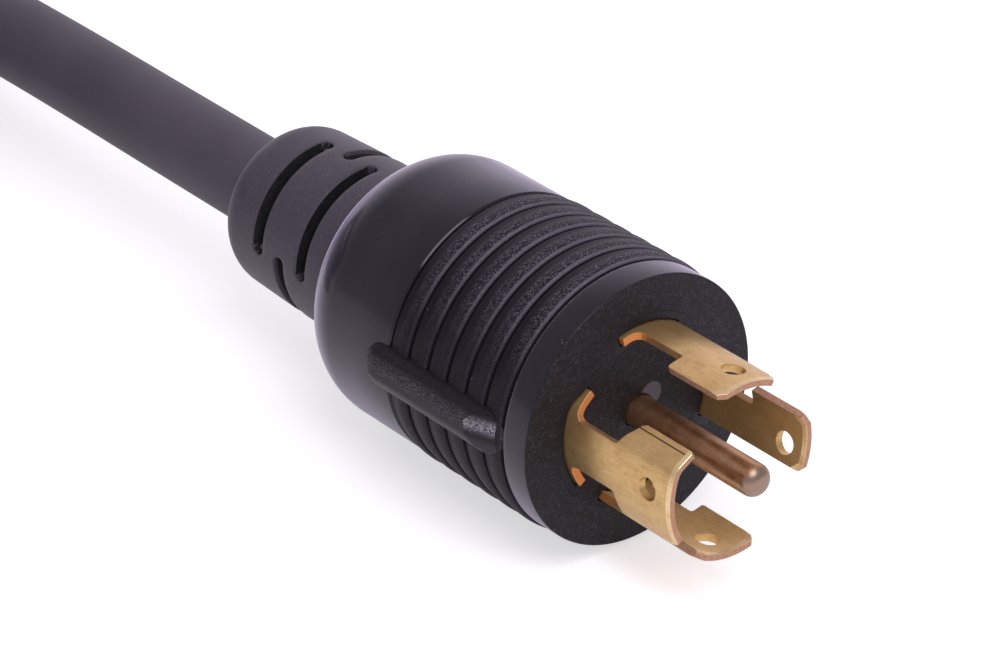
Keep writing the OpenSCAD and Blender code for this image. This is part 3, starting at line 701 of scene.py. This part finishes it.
class SHORECORD_OT_cable(bpy.types.Operator):
    """Adds the cable as one curve through lead, hank and tail"""

    bl_idname = "shorecord.cable"
    bl_label = "Add Cable"

    def execute(self, context):
        route = cord_route()
        curve = bpy.data.curves.new("cable", "CURVE")
        curve.dimensions = "3D"
        curve.bevel_depth = CORD_R * MM
        curve.bevel_resolution = 10
        curve.resolution_u = 5
        curve.use_fill_caps = True
        spline = curve.splines.new("BEZIER")
        spline.bezier_points.add(len(route) - 1)
        for point, place in zip(spline.bezier_points, route):
            point.co = place * MM
            point.handle_left_type = point.handle_right_type = "AUTO"
        curve.materials.append(MATERIALS["cable"])
        cable = bpy.data.objects.new("cable", curve)
        context.scene.collection.objects.link(cable)
        dress(cable, "cable", "cord_lead", "cord_hank", "cord_tail")
        return {"FINISHED"}


# ---------------------------------------------------------------- moulded bodies


def shell_profile(r, r_shoulder, band, shoulder, front, inner):
    """Closed profile of a moulded body; front is the radius of its face's hole, inner that of its chamber"""
    ribs_back = -band - RIB_COUNT * RIB_PITCH
    dome_start = ribs_back - shoulder
    dome_back = dome_start - dome_len(r_shoulder)
    end_angle = 180 - math.degrees(math.asin((NECK_R - (r_shoulder - DOME_R)) / DOME_R))
    points = [(-SKIN_T, front), (0.0, front), (0.0, r - 0.5), (0.0, r - 0.32)]
    points += arc(-0.3, r - 0.3, 0.3, 15, 90, 4)
    points += [(-band + 0.9, r + 0.02), (-band + 0.42, r)]
    for i in range(RIB_COUNT):
        start = -band - i * RIB_PITCH
        points += groove(start, r)
        # a rib rises fast behind its groove, and sinks slowly to the next one
        points += [(start - t * RIB_PITCH, r + RIB_RISE * share) for t, share in RIB_FORM]
    points += groove(ribs_back, r)
    points += [(ribs_back - 0.36, r - 0.12), (ribs_back - 0.7, r_shoulder - 0.04), (ribs_back - 0.95, r_shoulder)]
    points += [(dome_start + 8.0, r_shoulder), (dome_start + 1.0, r_shoulder)]
    points += arc(dome_start, r_shoulder - DOME_R, DOME_R, 90, end_angle, 28)
    points += [
        (dome_back - 0.15, NECK_R - 0.12), (dome_back - 0.6, NECK_R - 0.15),
        (dome_back - NECK_LEN + 0.3, NECK_R - 0.15), (dome_back - NECK_LEN, NECK_R - 0.4),
        (dome_back - NECK_LEN, STEM_R + 0.1), (dome_start + 2.0, STEM_R + 0.1), (dome_start + 7.0, inner),
        (-SKIN_T, inner), (-SKIN_T, front),
    ]
    return points


def groove(x, r):
    """A narrow groove round the body at x"""
    return [(x + 0.34, r - 0.04), (x + 0.22, r - 0.22), (x + 0.1, r - 0.5), (x - 0.1, r - 0.5),
            (x - 0.22, r - 0.22), (x - 0.34, r - 0.02)]


def ridge_shape(r, crest, front, settings):
    """The aligning ridge along +Y: a domed bar with round ends and a slanted front"""
    half = settings.ridge_width / MM / 2
    rear = front - RIDGE_LEN
    # the bar's plan is a rectangle with round ends
    ends = [(front - half, 0, -90), (rear + half, 0, 90)]
    plan = []
    for x, z, start in ends:
        turns = [math.radians(start + 180 * i / 16) for i in range(17)]
        plan += [(x + half * math.cos(t), z + half * math.sin(t)) for t in turns]
    bm = bmesh.new()
    top = bm.faces.new([bm.verts.new((x, r - 2.2, z)) for x, z in plan])
    bmesh.ops.recalc_face_normals(bm, faces=[top])
    if top.normal.y < 0:
        bmesh.ops.reverse_faces(bm, faces=[top])
    height = crest - r + 0.6
    rises = [(0.0, 1.6)]
    turns = [math.radians(90 * i / 9) for i in range(10)]
    for t0, t1 in zip(turns, turns[1:]):
        rises.append(((half - 0.55) * (math.cos(t0) - math.cos(t1)), height * (math.sin(t1) - math.sin(t0))))
    for inward, rise in rises:
        if inward == 0.0:
            grown = bmesh.ops.extrude_face_region(bm, geom=[top])
            top = [f for f in grown["geom"] if isinstance(f, bmesh.types.BMFace)][0]
            bmesh.ops.translate(bm, vec=(0, rise, 0), verts=top.verts[:])
        else:
            bmesh.ops.inset_region(bm, faces=[top], thickness=inward, depth=rise, use_even_offset=True)
    # the slanted facet at the front
    foot = Vector((front, r - 0.1, 0))
    slope = Vector((crest - r + 0.1, RIDGE_SLANT, 0)).normalized()
    cut_off = bmesh.ops.bisect_plane(
        bm, geom=bm.verts[:] + bm.edges[:] + bm.faces[:], dist=1e-5,
        plane_co=foot, plane_no=slope, clear_outer=True)
    rim = [e for e in cut_off["geom_cut"] if isinstance(e, bmesh.types.BMEdge)]
    facet = bmesh.ops.edgeloop_fill(bm, edges=rim)["faces"]
    # the facet's faces take the material with the painted highlight
    for f in facet:
        f.material_index = 1
    bmesh.ops.recalc_face_normals(bm, faces=bm.faces[:])
    edges = [e for f in facet for e in f.edges]
    bmesh.ops.bevel(bm, geom=edges, offset=0.35, segments=3, profile=0.5, affect="EDGES", material=-1)
    # below the ribs' tops the facet keeps the ridge's material, without the painted highlight
    facet = [f for f in bm.faces if f.material_index == 1]
    split = {v for f in facet for v in f.verts} | {e for f in facet for e in f.edges}
    bmesh.ops.bisect_plane(
        bm, geom=facet + list(split), dist=1e-5, plane_co=(0, r + 0.45, 0), plane_no=(0, 1, 0))
    for f in bm.faces:
        if f.calc_center_median().y < r + 0.45:
            f.material_index = 0
    bmesh.ops.scale(bm, vec=(MM, MM, MM), verts=bm.verts[:])
    bmesh.ops.recalc_face_normals(bm, faces=bm.faces[:])
    return bm


def slot_depth_at(x, a, neck, r):
    """How deep the relief's slots are at a place, and how far its rims are eased"""
    best = 9.0
    for row in range(3):
        centre_x = neck - SLOT_FIRST - row * SLOT_PITCH
        if abs(x - centre_x) > SLOT_W:
            continue
        for side in (0, 180):
            centre = SLOT_ANGLE + side + (90 if row == 1 else 0)
            away = abs((a - centre + 180) % 360 - 180)
            along = max(0.0, math.radians(away - SLOT_SPAN / 2) * r + SLOT_W / 2)
            best = min(best, math.hypot(along, x - centre_x) - SLOT_W / 2)
    wall = ease(-best, 0.0, 0.3)
    return SLOT_DEPTH * wall + 0.16 * (1 - ease(best, 0.0, 0.55)) * (1 - wall)


def relief_rows(neck):
    """The collar's rows of x and radius, closest together where the slots are"""
    end = neck - RELIEF_LEN
    rows = []
    x = neck
    while x > end + RELIEF_ROUND:
        t = (neck - x) / (RELIEF_LEN - RELIEF_ROUND)
        r = RELIEF_R if t < 0.42 else RELIEF_R + (RELIEF_END_R - RELIEF_R) * (t - 0.42) / 0.58
        rows.append((x, r))
        near = any(abs(x - (neck - SLOT_FIRST - row * SLOT_PITCH)) < SLOT_W / 2 + 0.8 for row in range(3))
        x -= 0.26 if near else 0.9
    rows += arc(end + RELIEF_ROUND, RELIEF_END_R - RELIEF_ROUND, RELIEF_ROUND, 90, 178, 16)
    rows += [(end, CORD_R + 0.5), (end + 0.25, CORD_R + 0.12), (end + 3.0, CORD_R + 0.05)]
    return rows


def relief_shape(neck):
    """The slotted collar"""
    start = [(neck + 1.0, STEM_R), (neck, STEM_R), (neck, RELIEF_R - 0.35), (neck - 0.08, RELIEF_R - 0.12)]
    rows = [(x - 0.25, r) if i == 0 else (x, r) for i, (x, r) in enumerate(relief_rows(neck))]
    bm = lathe(start + rows, 384)
    for v in bm.verts:
        x, y, z = v.co / MM
        r = math.hypot(y, z)
        if r < STEM_R + 0.5 or x > neck - 2:
            continue
        deep = slot_depth_at(x, math.degrees(math.atan2(z, y)), neck, RELIEF_R)
        v.co.y *= (r - deep) / r
        v.co.z *= (r - deep) / r
    # the slots' deep faces take the near-black material: painted shade in the slots
    for f in bm.faces:
        x, y, z = f.calc_center_median() / MM
        if neck - 26 < x < neck - 2 and STEM_R - 3 < math.hypot(y, z) < RELIEF_R - 1.2:
            f.material_index = 1
    return bm


def slot_marks(neck):
    """A small round mark in the mouth of each slot's end"""
    marks = bmesh.new()
    for row in range(3):
        x = neck - SLOT_FIRST - row * SLOT_PITCH
        for side in (0, 180):
            for end in (-0.5, 0.5):
                a = math.radians(SLOT_ANGLE + side + (90 if row == 1 else 0) + end * (SLOT_SPAN - 7))
                place = Vector((x, 15.6 * math.cos(a), 15.6 * math.sin(a))) * MM
                bmesh.ops.create_uvsphere(
                    marks, u_segments=16, v_segments=10, radius=0.75 * MM, matrix=Matrix.Translation(place))
    return marks


class SHORECORD_OT_plug_body(bpy.types.Operator):
    """Adds the plug's overmould, its aligning ridge and its strain relief"""

    bl_idname = "shorecord.plug_body"
    bl_label = "Add Plug Body"

    def execute(self, context):
        settings = context.scene.shore_cord_body
        profile = shell_profile(FACE_R, SHOULDER_R, BAND_LEN, SHOULDER_LEN, PIN_HOLE_R, CHAMBER_R)
        bm = lathe(profile, settings.segments)
        for face in bm.faces:
            face.material_index = 1 if face.calc_center_median().x > -0.0001 else 0
        shell = to_object(bm, "plug_shell", [MATERIALS["body"], MATERIALS["face"]], 30)
        for i, blade in enumerate(BLADES.values()):
            window = plate(*pad_outline(blade, PAD_MARGIN + 0.05, -SKIN_T - 1, 1), blade, 0.5)
            cut(shell, to_object(window, f"window_{i}", [MATERIALS["body"]], 30))
        dress(shell, "overmould", "plug_body")
        ridge = ridge_shape(FACE_R, SHOULDER_R + settings.ridge_height / MM, -6.0, settings)
        bmesh.ops.rotate(
            ridge, cent=(0, 0, 0), verts=ridge.verts[:],
            matrix=Matrix.Rotation(math.radians(RIDGE_ANGLE), 3, "X"))
        dress(to_object(ridge, "plug_ridge", [MATERIALS["ridge"], MATERIALS["facet"]], 50), "overmould")
        collar = merged([relief_shape(plug_neck()), slot_marks(plug_neck())])
        dress(
            to_object(collar, "plug_collar", [MATERIALS["relief"], MATERIALS["recess"]], 40),
            "relief", "plug_relief")
        return {"FINISHED"}


# ---------------------------------------------------------------- blades, pads and pin


def blade_section(blade, s):
    """Place and outward way of a blade's middle surface at arc length s from its first edge"""
    start = math.radians(blade[0])
    if s >= 0 or blade is not BLADE_LEFT:
        a = start + s / BLADE_R
        out = Vector((0, math.cos(a), math.sin(a)))
        return out * BLADE_R, out
    out = Vector((0, math.cos(start), math.sin(start)))
    centre = out * (BLADE_R - LEG_BEND_R)
    turn = min(-s / LEG_BEND_R, math.radians(LEG_TURN))
    a = start - turn
    way = Vector((0, math.cos(a), math.sin(a)))
    beyond = max(0.0, -s - LEG_BEND_R * math.radians(LEG_TURN))
    along = Vector((0, math.sin(a), -math.cos(a)))
    return centre + way * LEG_BEND_R + along * beyond, way


def blade_width(blade):
    """Arc length between a blade's edges, and of its leg"""
    leg = LEG_BEND_R * math.radians(LEG_TURN) + LEG_LEN if blade is BLADE_LEFT else 0.0
    return math.radians(blade[1] - blade[0]) * BLADE_R, leg


def plane_off(bm, place, way, width, depth, thick):
    """Bevels both sides of a flat plate along a line of its outline; way points out of the plate"""
    for side in (1, -1):
        cut_off = bmesh.ops.bisect_plane(
            bm, geom=bm.verts[:] + bm.edges[:] + bm.faces[:], dist=1e-5, clear_outer=True,
            plane_co=(place[0], place[1], side * (thick / 2 - depth)),
            plane_no=Vector((way[0] * depth, way[1] * depth, side * width)).normalized())
        rim = [e for e in cut_off["geom_cut"] if isinstance(e, bmesh.types.BMEdge)]
        bmesh.ops.edgeloop_fill(bm, edges=rim, mat_nr=2)


def plate(outline, thick, blade, step=0.8, edge=0.0, tip=(), side_slot=0):
    """A plate drawn flat in x and arc length, rounded at its edges and bent to the blade's section"""
    bm = bmesh.new()
    face = bm.faces.new([bm.verts.new((x, s, -thick / 2)) for x, s in outline])
    top = bmesh.ops.extrude_face_region(bm, geom=[face])
    moved = [v for v in top["geom"] if isinstance(v, bmesh.types.BMVert)]
    bmesh.ops.translate(bm, vec=(0, 0, thick), verts=moved)
    bmesh.ops.recalc_face_normals(bm, faces=bm.faces[:])
    for f in bm.faces:
        f.material_index = side_slot if abs(f.normal.z) < 0.5 else 0
    for place, way, width, depth in tip:
        plane_off(bm, place, way, width, depth, thick)
    bmesh.ops.recalc_face_normals(bm, faces=bm.faces[:])
    if edge:
        rim = [e for e in bm.edges if sorted(abs(f.normal.z) > 0.5 for f in e.link_faces) == [False, True]]
        bmesh.ops.bevel(bm, geom=rim, offset=edge, segments=2, profile=0.5, affect="EDGES", material=-1)
    low = min(v.co.y for v in bm.verts)
    high = max(v.co.y for v in bm.verts)
    for i in range(1, int((high - low) / step) + 1):
        bmesh.ops.bisect_plane(
            bm, geom=bm.verts[:] + bm.edges[:] + bm.faces[:], dist=1e-5,
            plane_co=(0, low + i * step, 0), plane_no=(0, 1, 0))
    near = min(v.co.x for v in bm.verts)
    far = max(v.co.x for v in bm.verts)
    for i in range(1, int((far - near) / 1.3) + 1):
        bmesh.ops.bisect_plane(
            bm, geom=bm.verts[:] + bm.edges[:] + bm.faces[:], dist=1e-5,
            plane_co=(near + i * 1.3, 0, 0), plane_no=(1, 0, 0))
    for v in bm.verts:
        place, way = blade_section(blade, v.co.y)
        v.co = (Vector((v.co.x, 0, 0)) + place + way * v.co.z) * MM
    outward(bm)
    return bm


def blade_outline(blade, length):
    """A blade's outline: tip with cut corners, locking notch with rounded corners, and root"""
    width, leg = blade_width(blade)
    notch = math.radians(blade[2] - blade[0]) * BLADE_R
    points = [(-1.45, -leg), (NOTCH_START, -leg)] if leg else [(-1.45, 0.0)]
    if leg:
        # the leg is cut away between its stub at the root and its slanted shoulder
        points += [(NOTCH_START + 0.3, -leg + 2.0), (NOTCH_START + 1.0, -0.8), (NOTCH_START + 2.0, 0.0)]
        points += [(12.2, 0.0), (13.0, -0.25), (13.6, -1.2), (14.4, -2.6), (15.4, -leg + 0.6), (16.2, -leg)]
    points += [(length - 0.4, -leg), (length, -leg + 0.4)] if leg else [
        (length - CUT_CORNER, 0.0), (length, CUT_CORNER)]
    points += [(length, width - CUT_CORNER), (length - CUT_CORNER, width)]
    points += [(NOTCH_END + 0.5, width), (NOTCH_END + 0.12, width - 0.15), (NOTCH_END, width - 0.5)]
    points += [(NOTCH_END, notch + 0.5), (NOTCH_END - 0.15, notch + 0.12), (NOTCH_END - 0.6, notch)]
    points += [(NOTCH_START + 1.9, notch), (NOTCH_START + 0.9, notch + 0.25), (NOTCH_START + 0.25, notch + 0.9)]
    points += [(NOTCH_START, notch + 1.8), (NOTCH_START, width), (-1.45, width)]
    return points


def tip_lines(blade, length, bevel):
    """The lines along which a blade's tip is bevelled: its end and its cut corners"""
    width, leg = blade_width(blade)
    slant = math.sqrt(0.5)
    lines = [
        ((length, 0), (1, 0), bevel, TIP_DEPTH),
        ((length, width - CUT_CORNER), (slant, slant), bevel, TIP_DEPTH)]
    if not leg:
        lines.append(((length, CUT_CORNER), (slant, -slant), bevel, TIP_DEPTH))
    return lines


def pad_outline(blade, grow, back, front):
    """Outline and thickness of a block round a blade, between two places along X"""
    width, leg = blade_width(blade)
    outline = [(back, -leg - grow), (front, -leg - grow), (front, width + grow), (back, width + grow)]
    return outline, BLADE_T + 2 * grow


def radial_hole(x, angle, radius, r_from, r_to, steps=40):
    """A cutter for a hole towards the axis"""
    bm = bmesh.new()
    middle = Matrix.Translation((x * MM, (r_from + r_to) / 2 * MM, 0))
    turn = Matrix.Rotation(math.radians(angle), 4, "X") @ middle
    bmesh.ops.create_cone(
        bm, cap_ends=True, segments=steps, radius1=radius * MM, radius2=radius * MM,
        depth=(r_to - r_from) * MM, matrix=turn @ Matrix.Rotation(math.pi / 2, 4, "X"))
    return to_object(bm, "hole", [MATERIALS["brass"]], 60)


class SHORECORD_OT_blades(bpy.types.Operator):
    """Adds the four curved blades, the pads round them and the earth pin"""

    bl_idname = "shorecord.blades"
    bl_label = "Add Blades"

    def execute(self, context):
        settings = context.scene.shore_cord_blades
        for name, blade in BLADES.items():
            length = NEUTRAL_LEN if blade is BLADE_LEFT else BLADE_LEN
            bm = plate(
                blade_outline(blade, length), BLADE_T, blade, 0.6, settings.edge_round / MM,
                tip_lines(blade, length, settings.tip_bevel / MM), 1)
            # the bottom blade takes the lighter brass copy, which is painted light
            brass = MATERIALS[{"neutral": "creased", "z": "dulled"}.get(name, "brass")]
            obj = to_object(bm, f"brass_{name}", [brass, MATERIALS["edge"], MATERIALS["planed"]], 12)
            hole_x = HOLE_X + (0.6 if blade is BLADE_LEFT else 0.0)
            cut(obj, radial_hole(hole_x, blade[3], HOLE_R, BLADE_R - 3, BLADE_R + 3), 12)
            dress(obj, "blade_brass", f"blade_{name}")
        pads = []
        for i, blade in enumerate(BLADES.values()):
            block = plate(*pad_outline(blade, PAD_MARGIN, -SKIN_T - 0.5, 0.0), blade, 0.6, 0.1)
            pad = to_object(block, f"pad_{i}", [MATERIALS["pad"]], 40)
            slot = plate(*pad_outline(blade, BLADE_GAP, -SKIN_T, 1.0), blade, 0.6)
            cut(pad, to_object(slot, "gap", [MATERIALS["pad"]], 40))
            pads.append(pad)
        for pad in pads:
            dress(pad, "carrier")
        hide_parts("plug_carrier")
        profile = [(-1.4, 0.0), (-1.4, PIN_R), (10.0, PIN_R), (20.0, PIN_R), (PIN_LEN - PIN_ROUND - 0.3, PIN_R)]
        profile += arc(PIN_LEN - PIN_ROUND, PIN_R - PIN_ROUND, PIN_ROUND, 90, 6, 12) + [(PIN_LEN, 0.0)]
        dress(to_object(lathe(profile, 96), "pin", [MATERIALS["pin"]], 60), "pin_brass", "earth_pin")
        return {"FINISHED"}


# ---------------------------------------------------------------- connector


class SHORECORD_OT_connector(bpy.types.Operator):
    """Adds the connector's overmould, ridge, strain relief and front insert"""

    bl_idname = "shorecord.connector"
    bl_label = "Add Connector"

    def execute(self, context):
        settings = context.scene.shore_cord_body
        profile = shell_profile(
            CONN_FACE_R, CONN_SHOULDER_R, CONN_BAND_LEN, CONN_SHOULDER_LEN, INSERT_R + 0.1, INSERT_R + 0.1)
        ridge = ridge_shape(
            CONN_FACE_R, CONN_SHOULDER_R + settings.ridge_height / MM, -6.0 - CONN_BAND_LEN + BAND_LEN, settings)
        bmesh.ops.rotate(
            ridge, cent=(0, 0, 0), verts=ridge.verts[:],
            matrix=Matrix.Rotation(math.radians(180 - RIDGE_ANGLE), 3, "X"))
        for f in ridge.faces:
            f.material_index += 2
        body = lathe(profile, settings.segments)
        for face in body.faces:
            face.material_index = 1 if face.calc_center_median().x > -0.0001 else 0
        shell = to_object(
            lay_connector(merged([body, ridge])), "connector_shell",
            [MATERIALS[key] for key in ("connector", "face", "connector_ridge", "connector_facet")], 30)
        dress(shell, "overmould", "connector_body")
        collar = lay_connector(merged([relief_shape(conn_neck()), slot_marks(conn_neck())]))
        dress(
            to_object(collar, "connector_collar", [MATERIALS["relief"], MATERIALS["recess"]], 40),
            "relief", "connector_relief")
        front = lathe(
            [(-5.9, EARTH_HOLE_R), (-0.35, EARTH_HOLE_R), (0.0, EARTH_HOLE_R + 0.35),
             (0.0, INSERT_R - 0.2), (-0.2, INSERT_R), (-5.9, INSERT_R), (-5.9, EARTH_HOLE_R)],
            settings.segments)
        insert = to_object(front, "connector_front", [MATERIALS["insert"]], 30)
        for blade in BLADES.values():
            width, leg = blade_width(blade)
            grow = SLOT_PLAY
            outline = [(-7.0, -leg - grow), (1.0, -leg - grow), (1.0, width + grow), (-7.0, width + grow)]
            slot = plate(outline, BLADE_T + 2 * grow, blade, 0.8)
            bmesh.ops.scale(slot, vec=(1, -1, 1), verts=slot.verts[:])
            bmesh.ops.reverse_faces(slot, faces=slot.faces[:])
            cut(insert, to_object(slot, "slot", [MATERIALS["insert"]], 30))
        place = Matrix.Translation((CONN_REAR + Vector((conn_end(), 0, 0))) * MM)
        insert.data.transform(place @ Matrix.Rotation(math.pi, 4, "Z"))
        dress(insert, "carrier", "connector_insert")
        return {"FINISHED"}


# ---------------------------------------------------------------- tie


class SHORECORD_OT_tie(bpy.types.Operator):
    """Adds the hook-and-loop strap round the hank and its plastic ring"""

    bl_idname = "shorecord.tie"
    bl_label = "Add Tie"

    def execute(self, context):
        band_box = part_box("tie_strap")
        ring_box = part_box("tie_loop")
        low, high = [Vector(v) for v in band_box]
        thick = 1.2 * MM
        top = ring_box[0][2]
        radius = (CORD_R + 1.2) * MM
        bm = bmesh.new()
        corners = []
        for cy, cz, start in (
                (high.y - radius, top - radius, 0), (low.y + radius, top - radius, 90),
                (low.y + radius, low.z + radius, 180), (high.y - radius, low.z + radius, 270)):
            for i in range(9):
                a = math.radians(start + 90 * i / 8)
                corners.append((cy + radius * math.cos(a), cz + radius * math.sin(a)))
        verts = [bm.verts.new((low.x, y, z)) for y, z in corners]
        edges = [bm.edges.new((a, b)) for a, b in zip(verts, verts[1:] + verts[:1])]
        wide = bmesh.ops.extrude_edge_only(bm, edges=edges)
        moved = [v for v in wide["geom"] if isinstance(v, bmesh.types.BMVert)]
        bmesh.ops.translate(bm, vec=(high.x - low.x, 0, 0), verts=moved)
        bmesh.ops.recalc_face_normals(bm, faces=bm.faces[:])
        bmesh.ops.solidify(bm, geom=bm.faces[:], thickness=thick)
        # the free end lies folded back on the strap
        flap = bmesh.new()
        bmesh.ops.create_cube(flap, size=1.0)
        flap_from, flap_to = ring_box[1][1] - 0.004, -0.060
        for v in flap.verts:
            v.co = Vector((
                low.x + (high.x - low.x) * (v.co.x + 0.5),
                flap_from + (flap_to - flap_from) * (v.co.y + 0.5),
                top + thick * (v.co.z + 0.5)))
        bmesh.ops.bevel(
            flap, geom=[e for e in flap.edges if all(v.co.y > flap_to - 1e-5 for v in e.verts)
                        and abs(e.verts[0].co.x - e.verts[1].co.x) < 1e-6],
            offset=0.004, segments=6, profile=0.5, affect="EDGES", material=-1)
        strap = to_object(merged([bm, flap]), "strap", [MATERIALS["strap"]], 40)
        dress(strap, "strap", "tie_strap")
        ring = bmesh.new()
        bmesh.ops.create_cube(ring, size=1.0)
        ring_low, ring_high = Vector(ring_box[0]), Vector(ring_box[1])
        for v in ring.verts:
            v.co = Vector([ring_low[k] + (ring_high[k] - ring_low[k]) * (v.co[k] + 0.5) for k in range(3)])
        flat = [f for f in ring.faces if abs(f.normal.z) > 0.9]
        inset = bmesh.ops.inset_region(ring, faces=flat, thickness=0.003)
        inner = [f for f in ring.faces if abs(f.normal.z) > 0.9 and f not in inset["faces"]]
        bmesh.ops.bridge_loops(ring, edges=[e for f in inner for e in f.edges])
        bmesh.ops.delete(ring, geom=inner, context="FACES_ONLY")
        bmesh.ops.recalc_face_normals(ring, faces=ring.faces[:])
        bmesh.ops.bevel(
            ring, geom=[e for e in ring.edges if e.calc_face_angle(0) > 0.5], offset=0.0008,
            segments=3, profile=0.5, affect="EDGES", material=-1)
        dress(to_object(ring, "strap_ring", [MATERIALS["loop"]], 40), "strap_loop", "tie_loop")
        return {"FINISHED"}


# ---------------------------------------------------------------- stage


def white_stage(name, glow):
    """White paper that is white to the eye and in a reflection, and still takes the object's shadow"""
    material, tree, shader, coords = new_material(name, Roughness=0.9)
    shader.inputs["Base Color"].default_value = (0.86, 0.86, 0.86, 1)
    shader.inputs["Specular IOR Level"].default_value = 0.0
    path = add_node(tree, "ShaderNodeLightPath").outputs
    seen = math_node(tree, "MULTIPLY", path["Is Camera Ray"], glow)
    mirrored = math_node(tree, "MULTIPLY", path["Is Glossy Ray"], 0.3)
    tree.links.new(math_node(tree, "ADD", seen, mirrored), shader.inputs["Emission Strength"])
    shader.inputs["Emission Color"].default_value = (1, 1, 1, 1)
    return material


def lamp(name, place, target, size, power, colour=(1, 1, 1)):
    """A soft rectangular lamp that looks at a point"""
    light = bpy.data.lights.new(name, "AREA")
    light.shape = "RECTANGLE"
    light.size, light.size_y = size
    light.energy = power
    light.color = colour
    obj = bpy.data.objects.new(name, light)
    obj.location = place
    obj.rotation_euler = (Vector(target) - Vector(place)).to_track_quat("-Z", "Y").to_euler()
    bpy.context.scene.collection.objects.link(obj)
    return obj


class SHORECORD_OT_stage(bpy.types.Operator):
    """Adds the floor, the lamps and the camera"""

    bl_idname = "shorecord.stage"
    bl_label = "Add Stage"

    def execute(self, context):
        settings = context.scene.shore_cord_stage
        scene = context.scene
        if settings.show_floor:
            bm = bmesh.new()
            bmesh.ops.create_grid(bm, x_segments=4, y_segments=4, size=6.0)
            bmesh.ops.translate(bm, vec=(0, 0, (FLOOR_Z - 0.4) * MM), verts=bm.verts[:])
            floor = to_object(bm, "floor", [white_stage("paper", 0.58)])
        world = bpy.data.worlds.new("studio")
        world.use_nodes = True
        tree = world.node_tree
        path = add_node(tree, "ShaderNodeLightPath").outputs
        background = tree.nodes["Background"]
        # a pale room with a hint of violet, white towards the sweep behind the cord and where it
        # is seen itself
        way = add_node(tree, "ShaderNodeTexCoord").outputs["Generated"]
        behind = add_node(
            tree, "ShaderNodeVectorMath", {0: way, 1: (-0.771, 0.637, 0.0)}, operation="DOT_PRODUCT").outputs["Value"]
        room = remap(tree, behind, 0.45, 0.95, 0.48, 1.0)
        level = add_node(
            tree, "ShaderNodeMix", {0: path["Is Camera Ray"], 2: room, 3: 1.0}, data_type="FLOAT").outputs[0]
        tree.links.new(level, background.inputs["Strength"])
        tint = blend_colour(tree, path["Is Camera Ray"], (1.0, 0.93, 1.08, 1.0), (1.0, 1.0, 1.0, 1.0))
        tree.links.new(tint, background.inputs["Color"])
        scene.world = world
        target = (-0.03, 0, 0)
        violet = (1.0, 0.94, 1.06)
        lamp("key", (0.22, -0.1, 0.42), target, (0.3, 0.3), 1.05, violet)
        camera_data = bpy.data.cameras.new("camera")
        camera_data.sensor_width = 36
        camera_data.lens = settings.lens
        camera_data.clip_start = 0.05
        camera_data.clip_end = 30
        camera = bpy.data.objects.new("camera", camera_data)
        forward = Vector((-0.6669, 0.5524, -0.5002)).normalized()
        right = Vector((0.638, 0.770, 0.0)).normalized()
        up = right.cross(forward).normalized()
        basis = Matrix((right, up, -forward)).transposed().to_4x4()
        camera.matrix_world = Matrix.Translation(Vector((0.4837, -0.4335, 0.3911))) @ basis
        scene.collection.objects.link(camera)
        scene.camera = camera
        scene.view_settings.view_transform = "Standard"
        return {"FINISHED"}


# ---------------------------------------------------------------- panel and registration


class SHORECORD_PT_panel(bpy.types.Panel):
    """Panel with the settings and the build buttons"""

    bl_idname = "SHORECORD_PT_panel"
    bl_label = "Shore Cord"
    bl_space_type = "VIEW_3D"
    bl_region_type = "UI"
    bl_category = "Shore Cord"

    def draw(self, context):
        layout = self.layout
        scene = context.scene
        for group, names in (
                (scene.shore_cord_body, ("segments", "ridge_width", "ridge_height")),
                (scene.shore_cord_blades, ("edge_round", "tip_bevel")),
                (scene.shore_cord_stage, ("show_floor", "lens"))):
            for name in names:
                layout.prop(group, name)
        for operator in OPERATORS:
            layout.operator(operator.bl_idname)


OPERATORS = (
    SHORECORD_OT_stage,
    SHORECORD_OT_plug_body,
    SHORECORD_OT_blades,
    SHORECORD_OT_connector,
    SHORECORD_OT_tie,
    SHORECORD_OT_cable,
)
CLASSES = (CordBodySettings, CordBladeSettings, CordStageSettings) + OPERATORS + (SHORECORD_PT_panel,)


def register():
    for cls in CLASSES:
        bpy.utils.register_class(cls)
    bpy.types.Scene.shore_cord_body = PointerProperty(type=CordBodySettings)
    bpy.types.Scene.shore_cord_blades = PointerProperty(type=CordBladeSettings)
    bpy.types.Scene.shore_cord_stage = PointerProperty(type=CordStageSettings)


def unregister():
    del bpy.types.Scene.shore_cord_stage
    del bpy.types.Scene.shore_cord_blades
    del bpy.types.Scene.shore_cord_body
    for cls in reversed(CLASSES):
        bpy.utils.unregister_class(cls)


def main():
    register()
    build_materials()
    bpy.ops.shorecord.stage()
    bpy.ops.shorecord.plug_body()
    bpy.ops.shorecord.blades()
    bpy.ops.shorecord.connector()
    bpy.ops.shorecord.tie()
    bpy.ops.shorecord.cable()


if __name__ == "__main__":
    main()
